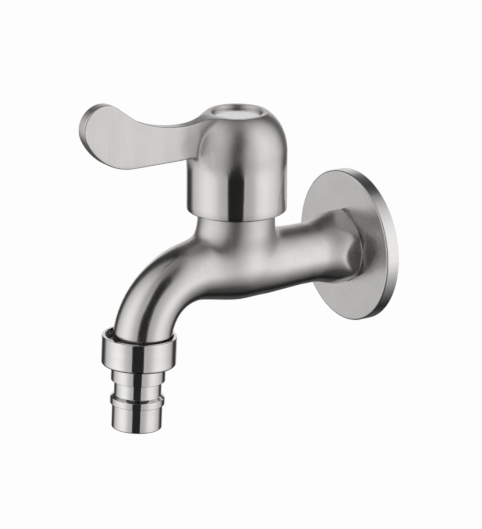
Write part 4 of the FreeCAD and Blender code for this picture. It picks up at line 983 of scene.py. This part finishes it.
class OutletOperator(bpy.types.Operator):
    """Makes the collar nut with its inner thread, and the stepped hose nozzle"""
    bl_idname = "bib_tap.outlet"
    bl_label = "Nut and nozzle"

    def execute(self, context):
        settings = context.scene.bib_tap
        material = brushed("turned_steel", tuple(settings.bright), (0.06, 0.13), (30, 30, 2400),
                           turn=(OUTLET_TILT, 0, 0))
        root, top, steps = 12.65, 9.0, 53
        corners = [(13.4, 0, .3), (13.4, 10.7, .9), (9.85, 10.7, .15), (9.85, 9.2, .1),
                   (12.05, 9.2, 0)]
        corners += [(root, top - step * OUTLET_PITCH / 8, 0) for step in range(steps)]
        corners += [(12.25, 2.25, 0), (12.25, 0, .12)]
        groove = thread(OUTLET_PITCH, settings.outlet_groove / MM, 2.4, top, -1)
        nut = turned("collar_ring", rounded_outline(corners), OUTLET, DOWN_OUTLET,
                     ridge=lambda across, along, turn: groove(along, turn)
                     * (np.abs(across - root) < 0.01), sharp=40)
        finish_piece(nut, material, "collar", "polished_stainless", "collar_nut")
        corners = [(7, 7.9, .1), (11.3, 7.9, .1), (11.3, 9.15, .1), (9.75, 9.15, .1),
                   (9.75, 16.6, .2), (8.5, 16.6, .15), (8.5, 21.8, .3), (9.8, 22.9, .2),
                   (9.8, 25.3, .2), (9.05, 25.3, .1), (9.05, 34.3, .5), (7, 34.3, .1)]
        nozzle = turned("stepped_nozzle", rounded_outline(corners), OUTLET, DOWN_OUTLET)
        finish_piece(nozzle, material, "nozzle", "polished_stainless", "hose_nozzle")
        return {"FINISHED"}


class FinishesOperator(bpy.types.Operator):
    """Gives the pieces of the frame their finishes"""
    bl_idname = "bib_tap.finishes"
    bl_label = "Finishes"

    def execute(self, context):
        dress(plain_finish("valve_brass", (0.78, 0.6, 0.33), (0.25, 0.4), 1.0),
              "valve_housing", "spindle")
        dress(plain_finish("fastener_steel", (0.55, 0.55, 0.55), (0.25, 0.4), 1.0),
              "handle_screw", "screw_spring_washer", "stop_washer", "retaining_clip")
        dress(plain_finish("ceramic", (0.9, 0.89, 0.86), (0.12, 0.2)),
              "fixed_disc", "moving_disc")
        dress(plain_finish("seal_rubber", (0.03, 0.03, 0.03), (0.45, 0.65)),
              "seat_seal", "spindle_o_ring_lower", "spindle_o_ring_upper", "nozzle_gasket")
        dress(plain_finish("fibre", (0.4, 0.13, 0.08), (0.7, 0.9), scale=900), "housing_seal")
        dress(plain_finish("slip_plastic", (0.86, 0.86, 0.84), (0.35, 0.5)), "thrust_washer")
        return {"FINISHED"}


class TapPanel(bpy.types.Panel):
    """Lists the settings and the steps"""
    bl_label = "Bib Tap"
    bl_idname = "VIEW3D_PT_bib_tap"
    bl_space_type = "VIEW_3D"
    bl_region_type = "UI"
    bl_category = "Bib Tap"

    def draw(self, context):
        settings = context.scene.bib_tap
        for name in TapSettings.__annotations__:
            self.layout.prop(settings, name)
        for step in STEPS:
            self.layout.operator(step.bl_idname)


STEPS = (StageOperator, BodyOperator, HandleOperator, FlangeOperator, OutletOperator,
         FinishesOperator)
CLASSES = (TapSettings, *STEPS, TapPanel)


def register():
    for cls in CLASSES:
        bpy.utils.register_class(cls)
    bpy.types.Scene.bib_tap = bpy.props.PointerProperty(type=TapSettings)


def unregister():
    del bpy.types.Scene.bib_tap
    for cls in reversed(CLASSES):
        bpy.utils.unregister_class(cls)


def main():
    """Builds everything in order."""
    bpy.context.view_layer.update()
    register()
    for step in STEPS:
        group, name = step.bl_idname.split(".")
        getattr(getattr(bpy.ops, group), name)()


if __name__ == "__main__":
    main()
